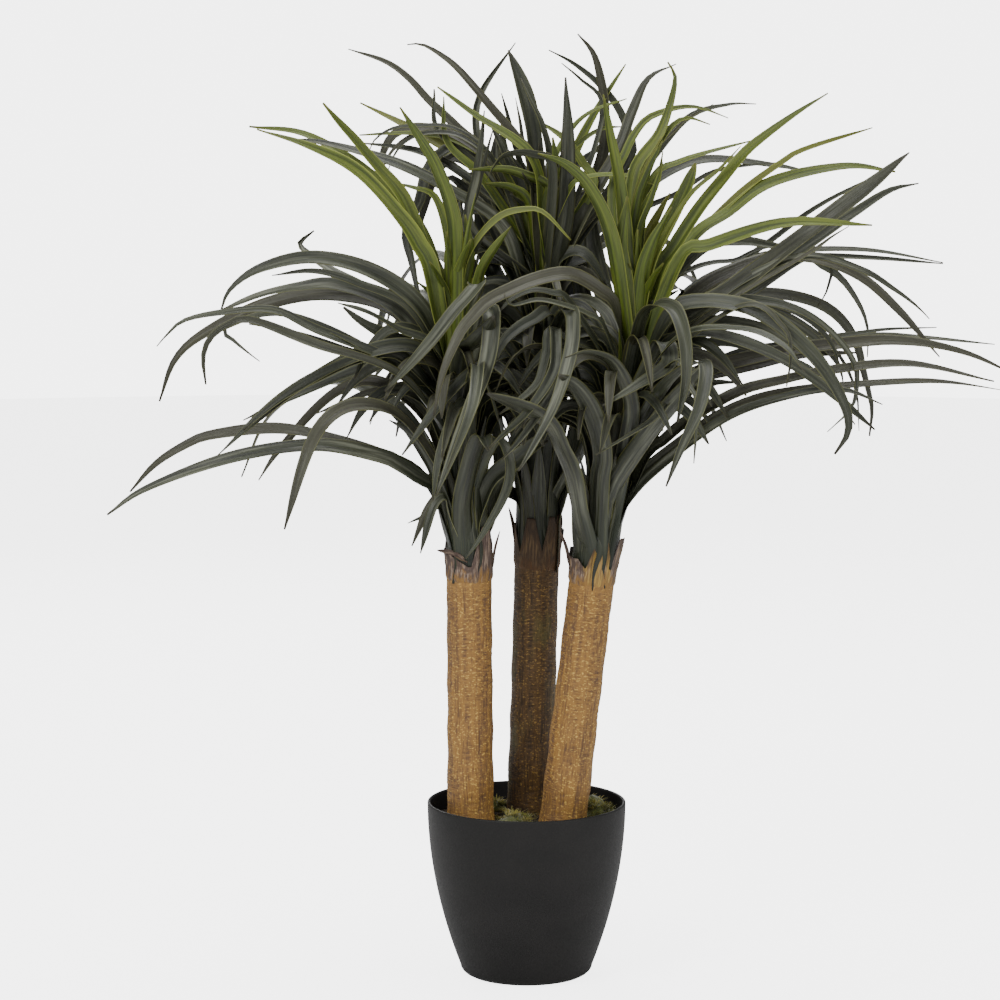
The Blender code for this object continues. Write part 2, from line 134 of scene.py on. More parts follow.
# Leaves that the frame has as solids, in the order of their nodes
FRAME_LEAVES: dict[Side, tuple[Row, ...]] = {
    Side.LEFT: (
        (11, 425, D, (-87, -30, 468), (-101, -32, 478), (-118, -36, 490), (-140, -40, 500),
         (-200, -50, 510), (-280, -62, 498), (-360, -70, 469), (-398, -72, 444)),
        (9, 452, D, (-100, -14, 481), (-140, -6, 502), (-190, 2, 518), (-240, 8, 526),
         (-298, 12, 520), (-324, 14, 510), (-352, 16, 492), (-376, 18, 466)),
        (11, 440, D, (-83, -44, 479), (-90, -52, 496), (-103, -64, 516), (-122, -82, 537),
         (-145, -102, 547), (-172, -122, 545), (-194, -145, 528), (-210, -160, 496),
         (-230, -180, 430)),
        (9, 498, D, (-91, -16, 528), (-118, -6, 558), (-148, 4, 571), (-176, 12, 562),
         (-200, 20, 543), (-223, 28, 518), (-240, 32, 498), (-254, 36, 477)),
        (12, 560, D, (-100, -45, 598), (-150, -62, 597), (-210, -80, 567), (-250, -88, 538),
         (-293, -95, 500)),
        (11, 600, D, (-100, -32, 640), (-145, -42, 674), (-200, -50, 687), (-250, -57, 677),
         (-279, -60, 657), (-289, -61, 634)),
        (11, 588, D, (-120, 2, 635), (-180, 22, 653), (-240, 36, 645), (-300, 46, 618),
         (-331, 49, 592), (-347, 50, 552)),
        (8, 530, D, (-120, -75, 575), (-200, -115, 605), (-260, -135, 628), (-283, -141, 623),
         (-298, -145, 612), (-305, -147, 594), (-303, -147, 568)),
        (9, 536, D, (-52, -70, 564), (-46, -120, 585), (-52, -190, 545), (-75, -230, 488)),
        (7, 490, D, (-30, -70, 515), (-18, -100, 502), (-16, -115, 482), (-22, -132, 461),
         (-33, -146, 440), (-46, -157, 419), (-58, -165, 402)),
        (13, 415, D, (-60, -50, 455), (-50, -66, 500), (-42, -80, 518), (-36, -95, 505)),
        (12, 594, L, (-92, -36, 672), (-103, -36, 697), (-119, -36, 722), (-160, -42, 766),
         (-205, -50, 790), (-253, -55, 807)),
        (10, 616, L, (-68, -38, 700), (-72, -42, 735), (-86, -50, 774), (-102, -55, 801),
         (-119, -60, 828)),
        (12, 470, D, (-120, 60, 540), (-180, 130, 570), (-240, 190, 540), (-270, 215, 480)),
        (11, 520, D, (-85, 50, 600), (-110, 120, 655), (-130, 190, 650), (-145, 230, 590)),
    ),
    Side.RIGHT: (
        (7, 405, D, (90, -34, 440), (99, -37, 461), (124, -44, 488), (187, -56, 536),
         (250, -66, 558), (299, -72, 563), (336, -76, 549)),
        (7, 432, D, (94, -24, 468), (111, -20, 486), (146, -12, 514), (180, -4, 538), (217, 4, 554),
         (255, 9, 562), (289, 14, 566), (380, 24, 571), (455, 30, 562)),
        (9, 455, D, (112, -34, 497), (130, -38, 514), (154, -42, 534), (200, -50, 560),
         (242, -53, 571), (284, -56, 580), (360, -60, 587), (441, -64, 571)),
        (11, 520, D, (140, -16, 566), (230, -2, 596), (316, 10, 607), (351, 14, 608),
         (385, 18, 604), (420, 22, 595), (455, 26, 580)),
        (12, 578, D, (135, -60, 632), (165, -72, 645), (204, -88, 641), (230, -98, 629),
         (256, -108, 609), (281, -118, 581), (301, -126, 545), (303, -128, 522), (291, -130, 502)),
        (11, 548, D, (130, -50, 602), (160, -58, 615), (187, -64, 612), (217, -70, 602),
         (248, -78, 587), (275, -84, 569), (301, -90, 549), (329, -96, 525)),
        (12, 590, D, (150, -6, 645), (200, 8, 677), (256, 22, 688), (309, 30, 671),
         (350, 38, 637), (389, 44, 594)),
        (14, 602, D, (150, -38, 630), (195, -46, 657), (261, -54, 706), (297, -58, 733),
         (330, -61, 759), (358, -64, 786)),
        (9, 622, L, (124, -32, 672), (140, -38, 698), (162, -43, 732), (185, -47, 761),
         (204, -49, 784), (220, -51, 798), (251, -55, 821), (281, -58, 841)),
        (10, 614, L, (150, -16, 697), (190, -8, 730), (230, -2, 758), (298, 4, 773),
         (345, 8, 768)),
        (9, 592, L, (143, -48, 684), (173, -60, 699), (244, -76, 720), (324, -90, 718)),
        (9, 616, L, (93, -40, 690), (86, -46, 757), (78, -50, 800), (71, -54, 840)),
        (10, 610, L, (84, -54, 680), (74, -62, 722), (57, -70, 755), (36, -78, 775),
         (10, -84, 785)),
        (10, 518, D, (130, -90, 565), (166, -150, 588), (164, -190, 550), (145, -215, 505),
         (132, -225, 471)),
        (13, 403, D, (50, -60, 442), (44, -75, 478), (33, -95, 505), (16, -118, 534),
         (-38, -150, 560)),
        (12, 480, D, (140, 50, 550), (210, 110, 590), (270, 160, 580), (310, 190, 530)),
        (11, 540, D, (110, 60, 630), (140, 130, 670), (165, 190, 650), (180, 225, 590)),
    ),
    Side.BACK: (
        (11, 640, D, (-20, 22, 712), (-72, 10, 750), (-124, 0, 776), (-187, -8, 794),
         (-222, -12, 798)),
        (11, 660, D, (-22, 64, 750), (-50, 72, 788), (-90, 84, 807), (-125, 92, 802),
         (-144, 96, 760)),
        (7, 676, D, (-30, 48, 770), (-65, 58, 808), (-93, 64, 835), (-110, 68, 854),
         (-132, 72, 870), (-167, 76, 882)),
        (8, 660, D, (4, 10, 770), (-10, 10, 798), (-35, 8, 828), (-63, 2, 861), (-79, 0, 875),
         (-98, -3, 886), (-112, -4, 886)),
        (14, 704, D, (6, 38, 768), (4, 41, 800), (-4, 44, 840), (-18, 50, 881)),
        (12, 664, D, (36, 12, 728), (39, 12, 800), (36, 14, 856)),
        (9, 694, D, (56, 60, 745), (72, 62, 786), (73, 63, 822), (70, 64, 850), (62, 64, 878),
         (47, 66, 896)),
        (11, 666, D, (50, 28, 722), (84, 38, 782), (100, 43, 824), (114, 46, 854),
         (139, 48, 868)),
        (7, 666, D, (60, 62, 720), (109, 76, 770), (150, 84, 817), (188, 88, 830), (214, 92, 831)),
        (9, 648, D, (60, 84, 705), (105, 104, 748), (160, 118, 778), (230, 130, 774),
         (268, 134, 767)),
        (11, 545, D, (-8, -12, 590), (-40, -52, 586), (-75, -78, 556), (-118, -92, 501)),
        (12, 520, D, (20, 110, 600), (32, 190, 620), (40, 240, 580), (44, 262, 530)),
        (11, 580, D, (-50, 110, 660), (-90, 180, 690), (-120, 230, 660), (-135, 255, 610)),
        (11, 620, D, (60, 110, 690), (110, 170, 710), (150, 210, 680), (170, 232, 630)),
    ),
}

# Leaves between them, which have no solid of their own
MORE_LEAVES: dict[Side, tuple[Row, ...]] = {
    Side.LEFT: (
        (9, 575, D, (-110, -4, 592), (-160, 14, 580), (-210, 28, 560), (-268, 40, 534)),
        (11, 560, D, (-120, -50, 592), (-157, -66, 590), (-188, -76, 578), (-223, -84, 560),
         (-250, -92, 540), (-268, -97, 524)),
        (6, 560, D, (-100, 20, 567), (-150, 40, 560), (-170, 48, 552), (-200, 55, 540)),
        (10, 596, D, (-100, -14, 612), (-130, -6, 643), (-180, 4, 661), (-215, 9, 659),
         (-250, 15, 652), (-288, 20, 638)),
        (6, 598, D, (-110, -40, 640), (-160, -44, 664), (-200, -48, 675), (-240, -52, 671)),
        (7, 550, D, (-120, -50, 585), (-200, -80, 620), (-240, -95, 638), (-290, -108, 635),
         (-323, -115, 628), (-339, -118, 615), (-349, -120, 604)),
        (6, 560, D, (-150, -60, 600), (-230, -80, 634), (-284, -88, 621), (-276, -92, 610),
         (-261, -98, 597), (-252, -102, 590)),
        (9, 556, D, (-120, -40, 580), (-173, -60, 599), (-210, -72, 612), (-245, -84, 622),
         (-262, -90, 625)),
        (12, 585, D, (-100, -20, 598), (-130, -30, 612), (-155, -40, 626), (-173, -46, 641)),
        (10, 602, D, (-110, 20, 622), (-150, 40, 655), (-185, 60, 675), (-205, 70, 690),
         (-214, 78, 701), (-200, 84, 713)),
        (9, 590, D, (-90, -50, 605), (-120, -70, 618), (-150, -90, 635), (-178, -105, 645)),
        (8, 505, D, (-54, -60, 549), (-66, -80, 544), (-77, -95, 518), (-85, -105, 490),
         (-89, -110, 457)),
        (8, 440, D, (-76, -44, 458), (-88, -52, 452), (-101, -58, 407)),
        (8, 445, D, (-78, -30, 462), (-92, -34, 450), (-109, -38, 414)),
        (4, 445, D, (-80, -30, 452), (-97, -32, 443), (-113, -34, 436)),
        (10, 436, D, (-84, -40, 470), (-96, -50, 500), (-112, -60, 522), (-130, -70, 534)),
        (13, 440, D, (-44, -30, 437), (-40, -34, 458), (-29, -38, 480), (-6, -40, 498),
         (14, -42, 520)),
        (12, 440, D, (-36, -14, 432), (-32, -16, 460), (-20, -18, 482), (0, -20, 500),
         (20, -22, 515)),
        (12, 560, D, (-44, -60, 628), (-33, -90, 634), (-35, -105, 599), (-42, -120, 572),
         (-51, -135, 549), (-60, -145, 526), (-73, -155, 494), (-86, -160, 462)),
        (12, 600, D, (-52, -60, 652), (-46, -85, 662), (-58, -95, 648), (-68, -98, 637),
         (-90, -95, 609), (-119, -88, 577), (-134, -84, 562)),
        (13, 540, D, (-62, -56, 590), (-50, -84, 606), (-38, -100, 620), (-31, -110, 633)),
        (8, 616, L, (-85, -8, 668), (-105, 0, 722), (-150, 8, 767), (-206, 14, 802),
         (-260, 18, 810)),
        (10, 612, L, (-80, -20, 655), (-92, -20, 680), (-103, -20, 708), (-118, -22, 744),
         (-139, -26, 770), (-149, -28, 782), (-162, -30, 798), (-178, -32, 816), (-191, -34, 832)),
        (7, 620, L, (-62, -24, 650), (-57, -30, 681), (-43, -36, 706), (-24, -40, 725),
         (-4, -44, 731), (15, -48, 729), (41, -54, 704)),
        (9, 618, L, (-48, -30, 652), (-41, -40, 678), (-29, -46, 698), (-15, -50, 717)),
        (4, 618, L, (-62, -34, 662), (-57, -40, 700), (-53, -44, 724), (-48, -48, 748)),
        (7, 618, L, (-72, -6, 690), (-85, 0, 742), (-106, 4, 753), (-130, 6, 758)),
        (8, 606, L, (-60, -30, 660), (-62, -34, 700), (-76, -38, 735)),
        (9, 606, L, (-60, -28, 655), (-54, -34, 690), (-58, -38, 728)),
    ),
    Side.RIGHT: (
        (5, 600, D, (160, 30, 650), (232, 44, 705), (262, 48, 728), (290, 52, 745),
         (340, 56, 770)),
        (10, 600, D, (150, -22, 626), (200, -20, 656), (260, -18, 696), (306, -16, 728),
         (340, -14, 750), (367, -13, 757)),
        (5, 600, D, (180, -60, 640), (262, -75, 690), (286, -80, 707), (302, -84, 717)),
        (9, 604, D, (120, 0, 645), (165, 6, 694), (200, 10, 702), (232, 14, 698),
         (268, 20, 690)),
        (6, 596, D, (150, 40, 655), (220, 56, 688), (268, 64, 695), (326, 72, 694),
         (391, 80, 683)),
        (6, 592, D, (150, 50, 648), (220, 66, 680), (268, 74, 688), (326, 82, 687),
         (391, 90, 682)),
        (9, 598, D, (180, 20, 640), (212, 28, 655), (232, 30, 668), (250, 32, 680),
         (270, 34, 690)),
        (5, 590, D, (200, 40, 680), (262, 44, 688), (285, 46, 680), (284, 47, 665),
         (280, 48, 652), (273, 49, 642)),
        (5, 596, D, (135, 10, 661), (156, 14, 677), (176, 18, 683), (196, 22, 685),
         (214, 26, 694), (240, 30, 700)),
        (6, 590, D, (180, -40, 650), (256, -60, 688), (312, -72, 677), (345, -79, 658),
         (367, -84, 642), (379, -86, 630)),
        (8, 585, D, (180, 60, 650), (250, 90, 689), (276, 96, 680), (294, 100, 668),
         (308, 104, 650), (317, 107, 633), (321, 110, 616), (321, 111, 594)),
        (5, 540, D, (180, 30, 590), (250, 44, 607), (311, 52, 616), (340, 56, 620),
         (386, 60, 622)),
        (5, 530, D, (160, 60, 575), (240, 80, 600), (321, 94, 614), (370, 100, 613),
         (441, 106, 606)),
        (9, 540, D, (135, -6, 566), (165, 10, 575), (210, 20, 585), (262, 30, 596),
         (312, 40, 598)),
        (9, 560, D, (140, -100, 610), (200, -160, 620), (240, -190, 606), (262, -208, 580)),
        (11, 560, D, (140, -10, 596), (180, -6, 606), (210, -4, 600)),
        (8, 520, D, (130, -10, 550), (170, -4, 568), (200, 0, 570)),
        (13, 580, D, (80, 30, 620), (70, 50, 660), (62, 60, 700), (60, 64, 735)),
        (13, 570, D, (66, 40, 610), (54, 60, 640), (48, 70, 670), (50, 76, 700)),
        (13, 426, D, (52, -46, 450), (46, -56, 474), (40, -66, 500)),
        (6, 575, D, (150, 30, 640), (230, 60, 638), (284, 80, 606), (309, 88, 565),
         (314, 92, 524)),
        (9, 580, D, (140, 0, 630), (180, 10, 641), (220, 20, 638), (262, 30, 618),
         (292, 38, 588), (300, 42, 560)),
        (10, 566, D, (140, -20, 615), (180, -24, 626), (220, -28, 620), (256, -32, 600),
         (286, -36, 575)),
        (6, 590, D, (200, -90, 640), (240, -110, 622), (248, -115, 597), (245, -118, 566)),
        (4, 560, D, (140, -110, 590), (152, -130, 568), (160, -138, 554), (160, -142, 526),
         (158, -145, 493)),
        (13, 422, D, (77, -50, 452), (89, -62, 482), (114, -74, 518), (144, -88, 555),
         (172, -100, 590)),
        (12, 560, D, (126, -75, 606), (134, -95, 588), (104, -110, 567), (72, -125, 548)),
        (5, 520, D, (132, -80, 548), (118, -90, 533), (96, -100, 519), (65, -108, 501)),
        (8, 585, D, (140, -40, 638), (180, -44, 648), (225, -48, 646), (255, -50, 638),
         (277, -52, 625), (295, -54, 608), (308, -56, 588), (311, -57, 570), (306, -58, 546),
         (284, -59, 523)),
        (10, 588, D, (150, -20, 634), (195, -26, 646), (230, -30, 644), (260, -34, 632),
         (284, -38, 610), (296, -40, 584)),
        (9, 588, D, (150, 20, 640), (200, 40, 652), (240, 50, 653), (275, 60, 644),
         (297, 64, 628), (311, 68, 605), (316, 70, 585), (322, 74, 563), (326, 78, 544),
         (324, 79, 519)),
        (11, 580, D, (112, -80, 632), (136, -118, 640), (148, -145, 615), (150, -165, 575),
         (142, -175, 532)),
        (6, 590, D, (72, -60, 623), (58, -68, 634), (44, -75, 640), (12, -88, 648),
         (-14, -98, 643), (-22, -102, 654)),
        (10, 600, D, (83, -50, 640), (68, -60, 657), (47, -70, 670), (30, -78, 672),
         (5, -86, 666), (-14, -94, 658), (-36, -102, 647), (-50, -108, 633), (-64, -116, 615),
         (-80, -125, 576), (-88, -132, 538)),
        (8, 590, D, (40, -50, 645), (25, -60, 654), (5, -70, 657), (-14, -78, 649),
         (-27, -84, 636)),
        (8, 580, D, (28, -60, 618), (19, -82, 599), (16, -92, 587), (11, -100, 571),
         (-1, -108, 558), (-26, -118, 540)),
        (13, 430, D, (68, -62, 475), (71, -70, 496), (69, -80, 517), (63, -92, 538),
         (55, -102, 554), (44, -110, 568), (30, -118, 577)),
        (11, 480, D, (96, -66, 520), (99, -80, 545), (94, -92, 566), (83, -102, 586),
         (72, -110, 594), (54, -118, 598), (36, -124, 593)),
        (6, 618, L, (120, -10, 660), (191, 0, 738), (239, 6, 776), (262, 8, 789),
         (323, 14, 809)),
        (5, 620, L, (118, -40, 680), (150, -48, 742), (180, -54, 770), (200, -58, 792)),
        (8, 620, L, (98, -12, 700), (100, -6, 767), (125, 2, 806), (138, 8, 852),
         (131, 12, 870)),
        (7, 618, L, (98, -30, 690), (104, -34, 739), (113, -38, 766), (127, -42, 797)),
        (6, 618, L, (104, -36, 700), (117, -42, 743), (127, -46, 777)),
        (13, 620, L, (107, -14, 663), (120, -12, 694), (132, -10, 717), (142, -8, 736),
         (151, -7, 756), (158, -6, 776)),
        (9, 616, L, (100, -4, 670), (112, 0, 705), (124, 2, 730), (134, 4, 748)),
        (6, 620, L, (98, -22, 660), (100, -20, 727), (108, -18, 763), (126, -16, 801)),
        (6, 620, L, (104, -26, 690), (108, -26, 728), (122, -26, 757), (127, -26, 787)),
        (6, 616, L, (80, 10, 740), (92, 14, 785), (108, 18, 813), (125, 20, 823),
         (145, 22, 828), (163, 26, 827), (188, 30, 818)),
        (6, 616, L, (92, 4, 700), (108, 4, 765), (125, 5, 797), (138, 6, 813),
         (151, 8, 818), (171, 10, 812)),
        (6, 616, L, (108, 0, 720), (120, 2, 765), (142, 4, 777), (165, 6, 785),
         (210, 10, 797)),
        (11, 606, L, (92, -46, 660), (88, -50, 700), (94, -54, 745)),
        (11, 606, L, (108, -46, 662), (118, -50, 700), (136, -54, 735)),
    ),
    Side.BACK: (
        (8, 660, D, (-10, 42, 718), (-50, 52, 757), (-98, 62, 785), (-157, 72, 795)),
        (10, 640, D, (-40, 60, 765), (-70, 56, 788), (-91, 44, 770), (-99, 30, 740),
         (-112, 14, 712), (-107, 0, 683), (-103, -10, 660), (-96, -18, 632)),
        (8, 640, D, (-30, 70, 745), (-62, 70, 780), (-80, 64, 774), (-89, 52, 757),
         (-95, 40, 737), (-101, 26, 716), (-104, 10, 690)),
        (7, 700, D, (-40, 40, 765), (-84, 44, 805), (-87, 46, 845)),
        (6, 700, L, (-40, 30, 760), (-75, 34, 796), (-78, 36, 838)),
        (12, 690, D, (-14, 60, 730), (-42, 80, 768), (-70, 100, 782), (-92, 110, 764)),
        (12, 670, D, (-8, 70, 722), (-30, 95, 755), (-54, 115, 762), (-76, 125, 735)),
        (12, 650, D, (-12, 60, 700), (-38, 85, 728), (-58, 100, 722), (-69, 110, 690)),
        (12, 630, D, (-12, 55, 680), (-36, 80, 702), (-56, 100, 694), (-66, 110, 655)),
        (12, 640, D, (-20, 50, 690), (-45, 70, 735), (-60, 84, 740), (-64, 90, 690)),
        (13, 610, D, (-14, 80, 640), (-36, 100, 680), (-44, 110, 720), (-42, 116, 768)),
        (13, 600, D, (-20, 90, 630), (-50, 112, 668), (-64, 122, 705), (-66, 128, 750)),
        (13, 640, D, (-10, 70, 670), (-24, 90, 700), (-30, 96, 745), (-30, 100, 800)),
        (12, 660, D, (-14, 84, 700), (-44, 104, 745), (-66, 116, 772), (-78, 122, 782)),
        (12, 690, D, (-6, 60, 740), (-20, 70, 775), (-24, 74, 812)),
        (12, 660, D, (-20, 70, 715), (-52, 82, 745), (-72, 88, 762), (-80, 90, 752)),
        (12, 470, D, (-22, 30, 470), (-30, 34, 510), (-36, 40, 560)),
        (12, 480, D, (38, 34, 490), (48, 38, 530), (54, 44, 580)),
        (13, 460, D, (34, 30, 470), (44, 40, 500), (50, 48, 540)),
        (10, 470, D, (28, 24, 458), (38, 20, 480), (50, 16, 500), (60, 14, 530)),
        (9, 480, D, (30, 40, 480), (40, 50, 510), (48, 60, 540)),
        (11, 690, D, (-6, 46, 748), (-22, 52, 788), (-34, 56, 812)),
        (9, 700, D, (30, 60, 750), (52, 70, 776), (68, 76, 790), (74, 80, 806)),
        (9, 680, D, (36, 50, 722), (60, 60, 748), (76, 66, 744), (86, 70, 722)),
        (7, 700, L, (60, 30, 752), (51, 36, 776), (35, 42, 798), (6, 50, 818)),
        (6, 680, D, (-30, 55, 740), (-47, 62, 800), (-44, 66, 840), (-11, 70, 888)),
        (6, 700, D, (22, 30, 770), (14, 32, 812), (2, 34, 837), (-6, 36, 855)),
        (7, 680, D, (-53, 0, 714), (-48, -4, 766), (-44, -4, 791), (-40, -4, 825)),
        (6, 680, D, (-56, 10, 712), (-48, 10, 748), (-40, 10, 780), (-31, 10, 811)),
        (5, 700, D, (0, 50, 750), (-13, 50, 798), (-18, 50, 819), (-24, 50, 841)),
        (5, 700, D, (4, 30, 755), (-4, 30, 795), (-7, 30, 816), (-11, 30, 837)),
        (5, 690, D, (-30, 20, 772), (-51, 20, 797), (-74, 22, 809), (-101, 24, 810),
         (-125, 26, 808), (-142, 28, 798), (-149, 28, 784)),
        (5, 688, D, (-26, 24, 766), (-60, 26, 800), (-94, 30, 804), (-114, 34, 796),
         (-124, 36, 784), (-130, 38, 770)),
        (5, 686, D, (-24, 28, 762), (-70, 40, 802), (-104, 50, 802), (-124, 56, 790),
         (-137, 60, 768), (-143, 62, 752)),
        (7, 680, D, (24, -6, 768), (7, -10, 784), (-19, -14, 784), (-31, -18, 773),
         (-38, -20, 760)),
        (6, 690, D, (66, 56, 735), (97, 60, 783), (96, 62, 800), (86, 64, 826),
         (68, 66, 849), (43, 70, 869), (20, 72, 881)),
        (4, 690, D, (60, 40, 780), (70, 44, 832), (50, 46, 854), (32, 48, 869)),
        (7, 690, L, (36, 60, 760), (49, 62, 794), (66, 64, 826), (92, 68, 868)),
        (4, 680, D, (90, 50, 760), (136, 60, 804), (148, 62, 816), (174, 66, 831)),
        (5, 650, D, (80, 100, 715), (140, 110, 747), (178, 118, 769), (238, 126, 777)),
        (10, 600, D, (36, -60, 634), (43, -80, 634), (44, -90, 622), (43, -98, 605),
         (37, -110, 579), (26, -125, 547), (5, -140, 507), (-8, -148, 486)),
        (8, 560, D, (25, -60, 618), (27, -90, 592), (23, -105, 576), (11, -118, 556),
         (-5, -130, 536), (-22, -138, 521), (-36, -144, 507)),
        (8, 550, D, (34, -60, 600), (33, -88, 580), (29, -100, 565), (18, -112, 549),
         (5, -122, 531), (-8, -130, 514), (-24, -136, 496)),
        (10, 550, D, (23, -10, 631), (5, -30, 629), (-14, -45, 617), (-25, -55, 604),
         (-38, -62, 575)),
        (8, 540, D, (18, -30, 596), (12, -50, 602), (-2, -62, 600), (-16, -70, 588),
         (-30, -76, 560)),
        (8, 700, L, (-12, 60, 745), (-60, 92, 780), (-100, 98, 804), (-156, 104, 832)),
        (7, 700, L, (-20, 40, 760), (-60, 46, 793), (-100, 50, 802), (-157, 54, 802)),
        (9, 702, L, (12, 10, 750), (4, -2, 780), (-10, -6, 795), (-29, -8, 808),
         (-50, -9, 821), (-84, -10, 847)),
        (7, 702, L, (26, 16, 742), (16, 8, 757), (2, 2, 763), (-20, -6, 770),
         (-55, -14, 770)),
        (5, 704, L, (24, 30, 770), (39, 32, 804), (60, 34, 824), (93, 36, 836)),
        (5, 704, L, (36, 40, 775), (51, 42, 796), (70, 44, 808), (90, 46, 810)),
        (5, 704, L, (40, 10, 750), (60, 4, 763), (94, -4, 764), (118, -10, 756)),
        (9, 690, L, (2, 16, 735), (-14, 10, 752), (-40, 4, 757)),
        (9, 690, L, (20, 14, 740), (28, 8, 770), (24, 4, 800)),
    ),
}


# ------------------------------------------------------------------------------- small tools

def linear(code: str) -> Colour:
    """Turn an sRGB hex colour into linear RGBA.

    Args:
        code: The colour as "#rrggbb".

    Returns:
        The same colour in Blender's linear values.
    """
    channels = [int(code[i:i + 2], 16) / 255 for i in (1, 3, 5)]
    red, green, blue = (c / 12.92 if c <= 0.04045 else ((c + 0.055) / 1.055) ** 2.4
                        for c in channels)
    return red, green, blue, 1.0


def feed(tree: bpy.types.NodeTree, node: bpy.types.Node, inputs: Mapping[str | int, Any]) -> None:
    """Fill a node's inputs.

    Args:
        tree: The tree that the node is in.
        node: The node.
        inputs: For each input's name or number, the node or socket to link, a hex colour, or
            another value.
    """
    for key, value in inputs.items():
        if isinstance(value, bpy.types.Node):
            value = next(output for output in value.outputs if output.enabled)
        if isinstance(value, bpy.types.NodeSocket):
            tree.links.new(value, node.inputs[key])
        else:
            node.inputs[key].default_value = linear(value) if isinstance(value, str) else value


def add_node(tree: bpy.types.NodeTree, kind: str, inputs: Mapping[str | int, Any] | None = None,
             **settings: Any) -> bpy.types.Node:
    """Add a node with its settings and its links.

    Args:
        tree: The material or world to add to.
        kind: The node's type.
        inputs: What feed gives to its inputs.
        **settings: Properties of the node itself.

    Returns:
        The new node.
    """
    node = tree.nodes.new(kind)
    for name, value in settings.items():
        setattr(node, name, value)
    feed(tree, node, inputs or {})
    return node


def smooth(low: float, high: float, x: float) -> float:
    """Ease from 0 at low to 1 at high.

    Args:
        low: Where the step starts.
        high: Where it ends.
        x: The value to look up.

    Returns:
        A share from 0 to 1.
    """
    share = min(max((x - low) / (high - low), 0.0), 1.0)
    return share * share * (3 - 2 * share)


def interpolate(table: Sequence[tuple[float, float]], x: float) -> float:
    """Read a piecewise linear table.

    Args:
        table: Pairs of x and value, in rising order.
        x: The value to look up.

    Returns:
        The value there, or the last one past the table's end.
    """
    for (x0, y0), (x1, y1) in zip(table, table[1:]):
        if x <= x1:
            return y0 + (y1 - y0) * (x - x0) / (x1 - x0)
    return table[-1][1]


def smooth_path(points: Sequence[Vector], steps: int) -> list[Vector]:
    """Run a Catmull-Rom curve through points and divide it evenly.

    Args:
        points: The route, from one end to the other.
        steps: How many equal stretches to give.

    Returns:
        steps + 1 points at equal distances along the curve.
    """
    knots = [2 * points[0] - points[1], *points, 2 * points[-1] - points[-2]]
    dense = []
    for p0, p1, p2, p3 in zip(knots, knots[1:], knots[2:], knots[3:]):
        for i in range(CURVE_STEPS):
            t = i / CURVE_STEPS
            dense.append(0.5 * (2 * p1 + (p2 - p0) * t + (2 * p0 - 5 * p1 + 4 * p2 - p3) * t * t
                                + (3 * p1 - p0 - 3 * p2 + p3) * t ** 3))
    dense.append(points[-1])
    runs = stretches(dense)
    spacing = sum(runs) / steps
    result, walked, i = [dense[0]], 0.0, 0
    for step in range(1, steps):
        while walked + runs[i] < step * spacing:
            walked += runs[i]
            i += 1
        result.append(dense[i].lerp(dense[i + 1], (step * spacing - walked) / runs[i]))
    return [*result, dense[-1]]


def stretches(path: Sequence[Vector]) -> list[float]:
    """Measure a polyline from point to point.

    Args:
        path: The polyline.

    Returns:
        The length of each of its stretches.
    """
    return [(b - a).length for a, b in zip(path, path[1:])]


def tangents(path: Sequence[Vector]) -> list[Vector]:
    """Give the direction of a polyline at each of its points.

    Args:
        path: The polyline.

    Returns:
        One unit vector for each point.
    """
    ends = [path[0], *path, path[-1]]
    return [(after - before).normalized() for before, after in zip(ends, ends[2:])]


def outwards(angle: float) -> Vector:
    """Give a level direction.

    Args:
        angle: In radians, from the front towards +X.

    Returns:
        A unit vector.
    """
    return Vector((math.sin(angle), -math.cos(angle), 0))


def from_elevation(x: float, depth: float, z: float) -> Vector:
    """Slide a point of the front elevation along its sight line to a depth.

    Args:
        x: Its place across the elevation.
        depth: How far behind the pot's axis it lies.
        z: Its height on the elevation.

    Returns:
        The point in space, in millimetres.
    """
    return EYE + (Vector((x, 0, z)) - EYE) * (1 - depth / EYE.y)


def new_object(name: str, data: bpy.types.ID) -> bpy.types.Object:
    """Put an object in the scene.

    Args:
        name: The object's name.
        data: Its mesh, camera or lamp.

    Returns:
        The new object.
    """
    made = bpy.data.objects.new(name, data)
    bpy.context.scene.collection.objects.link(made)
    return made


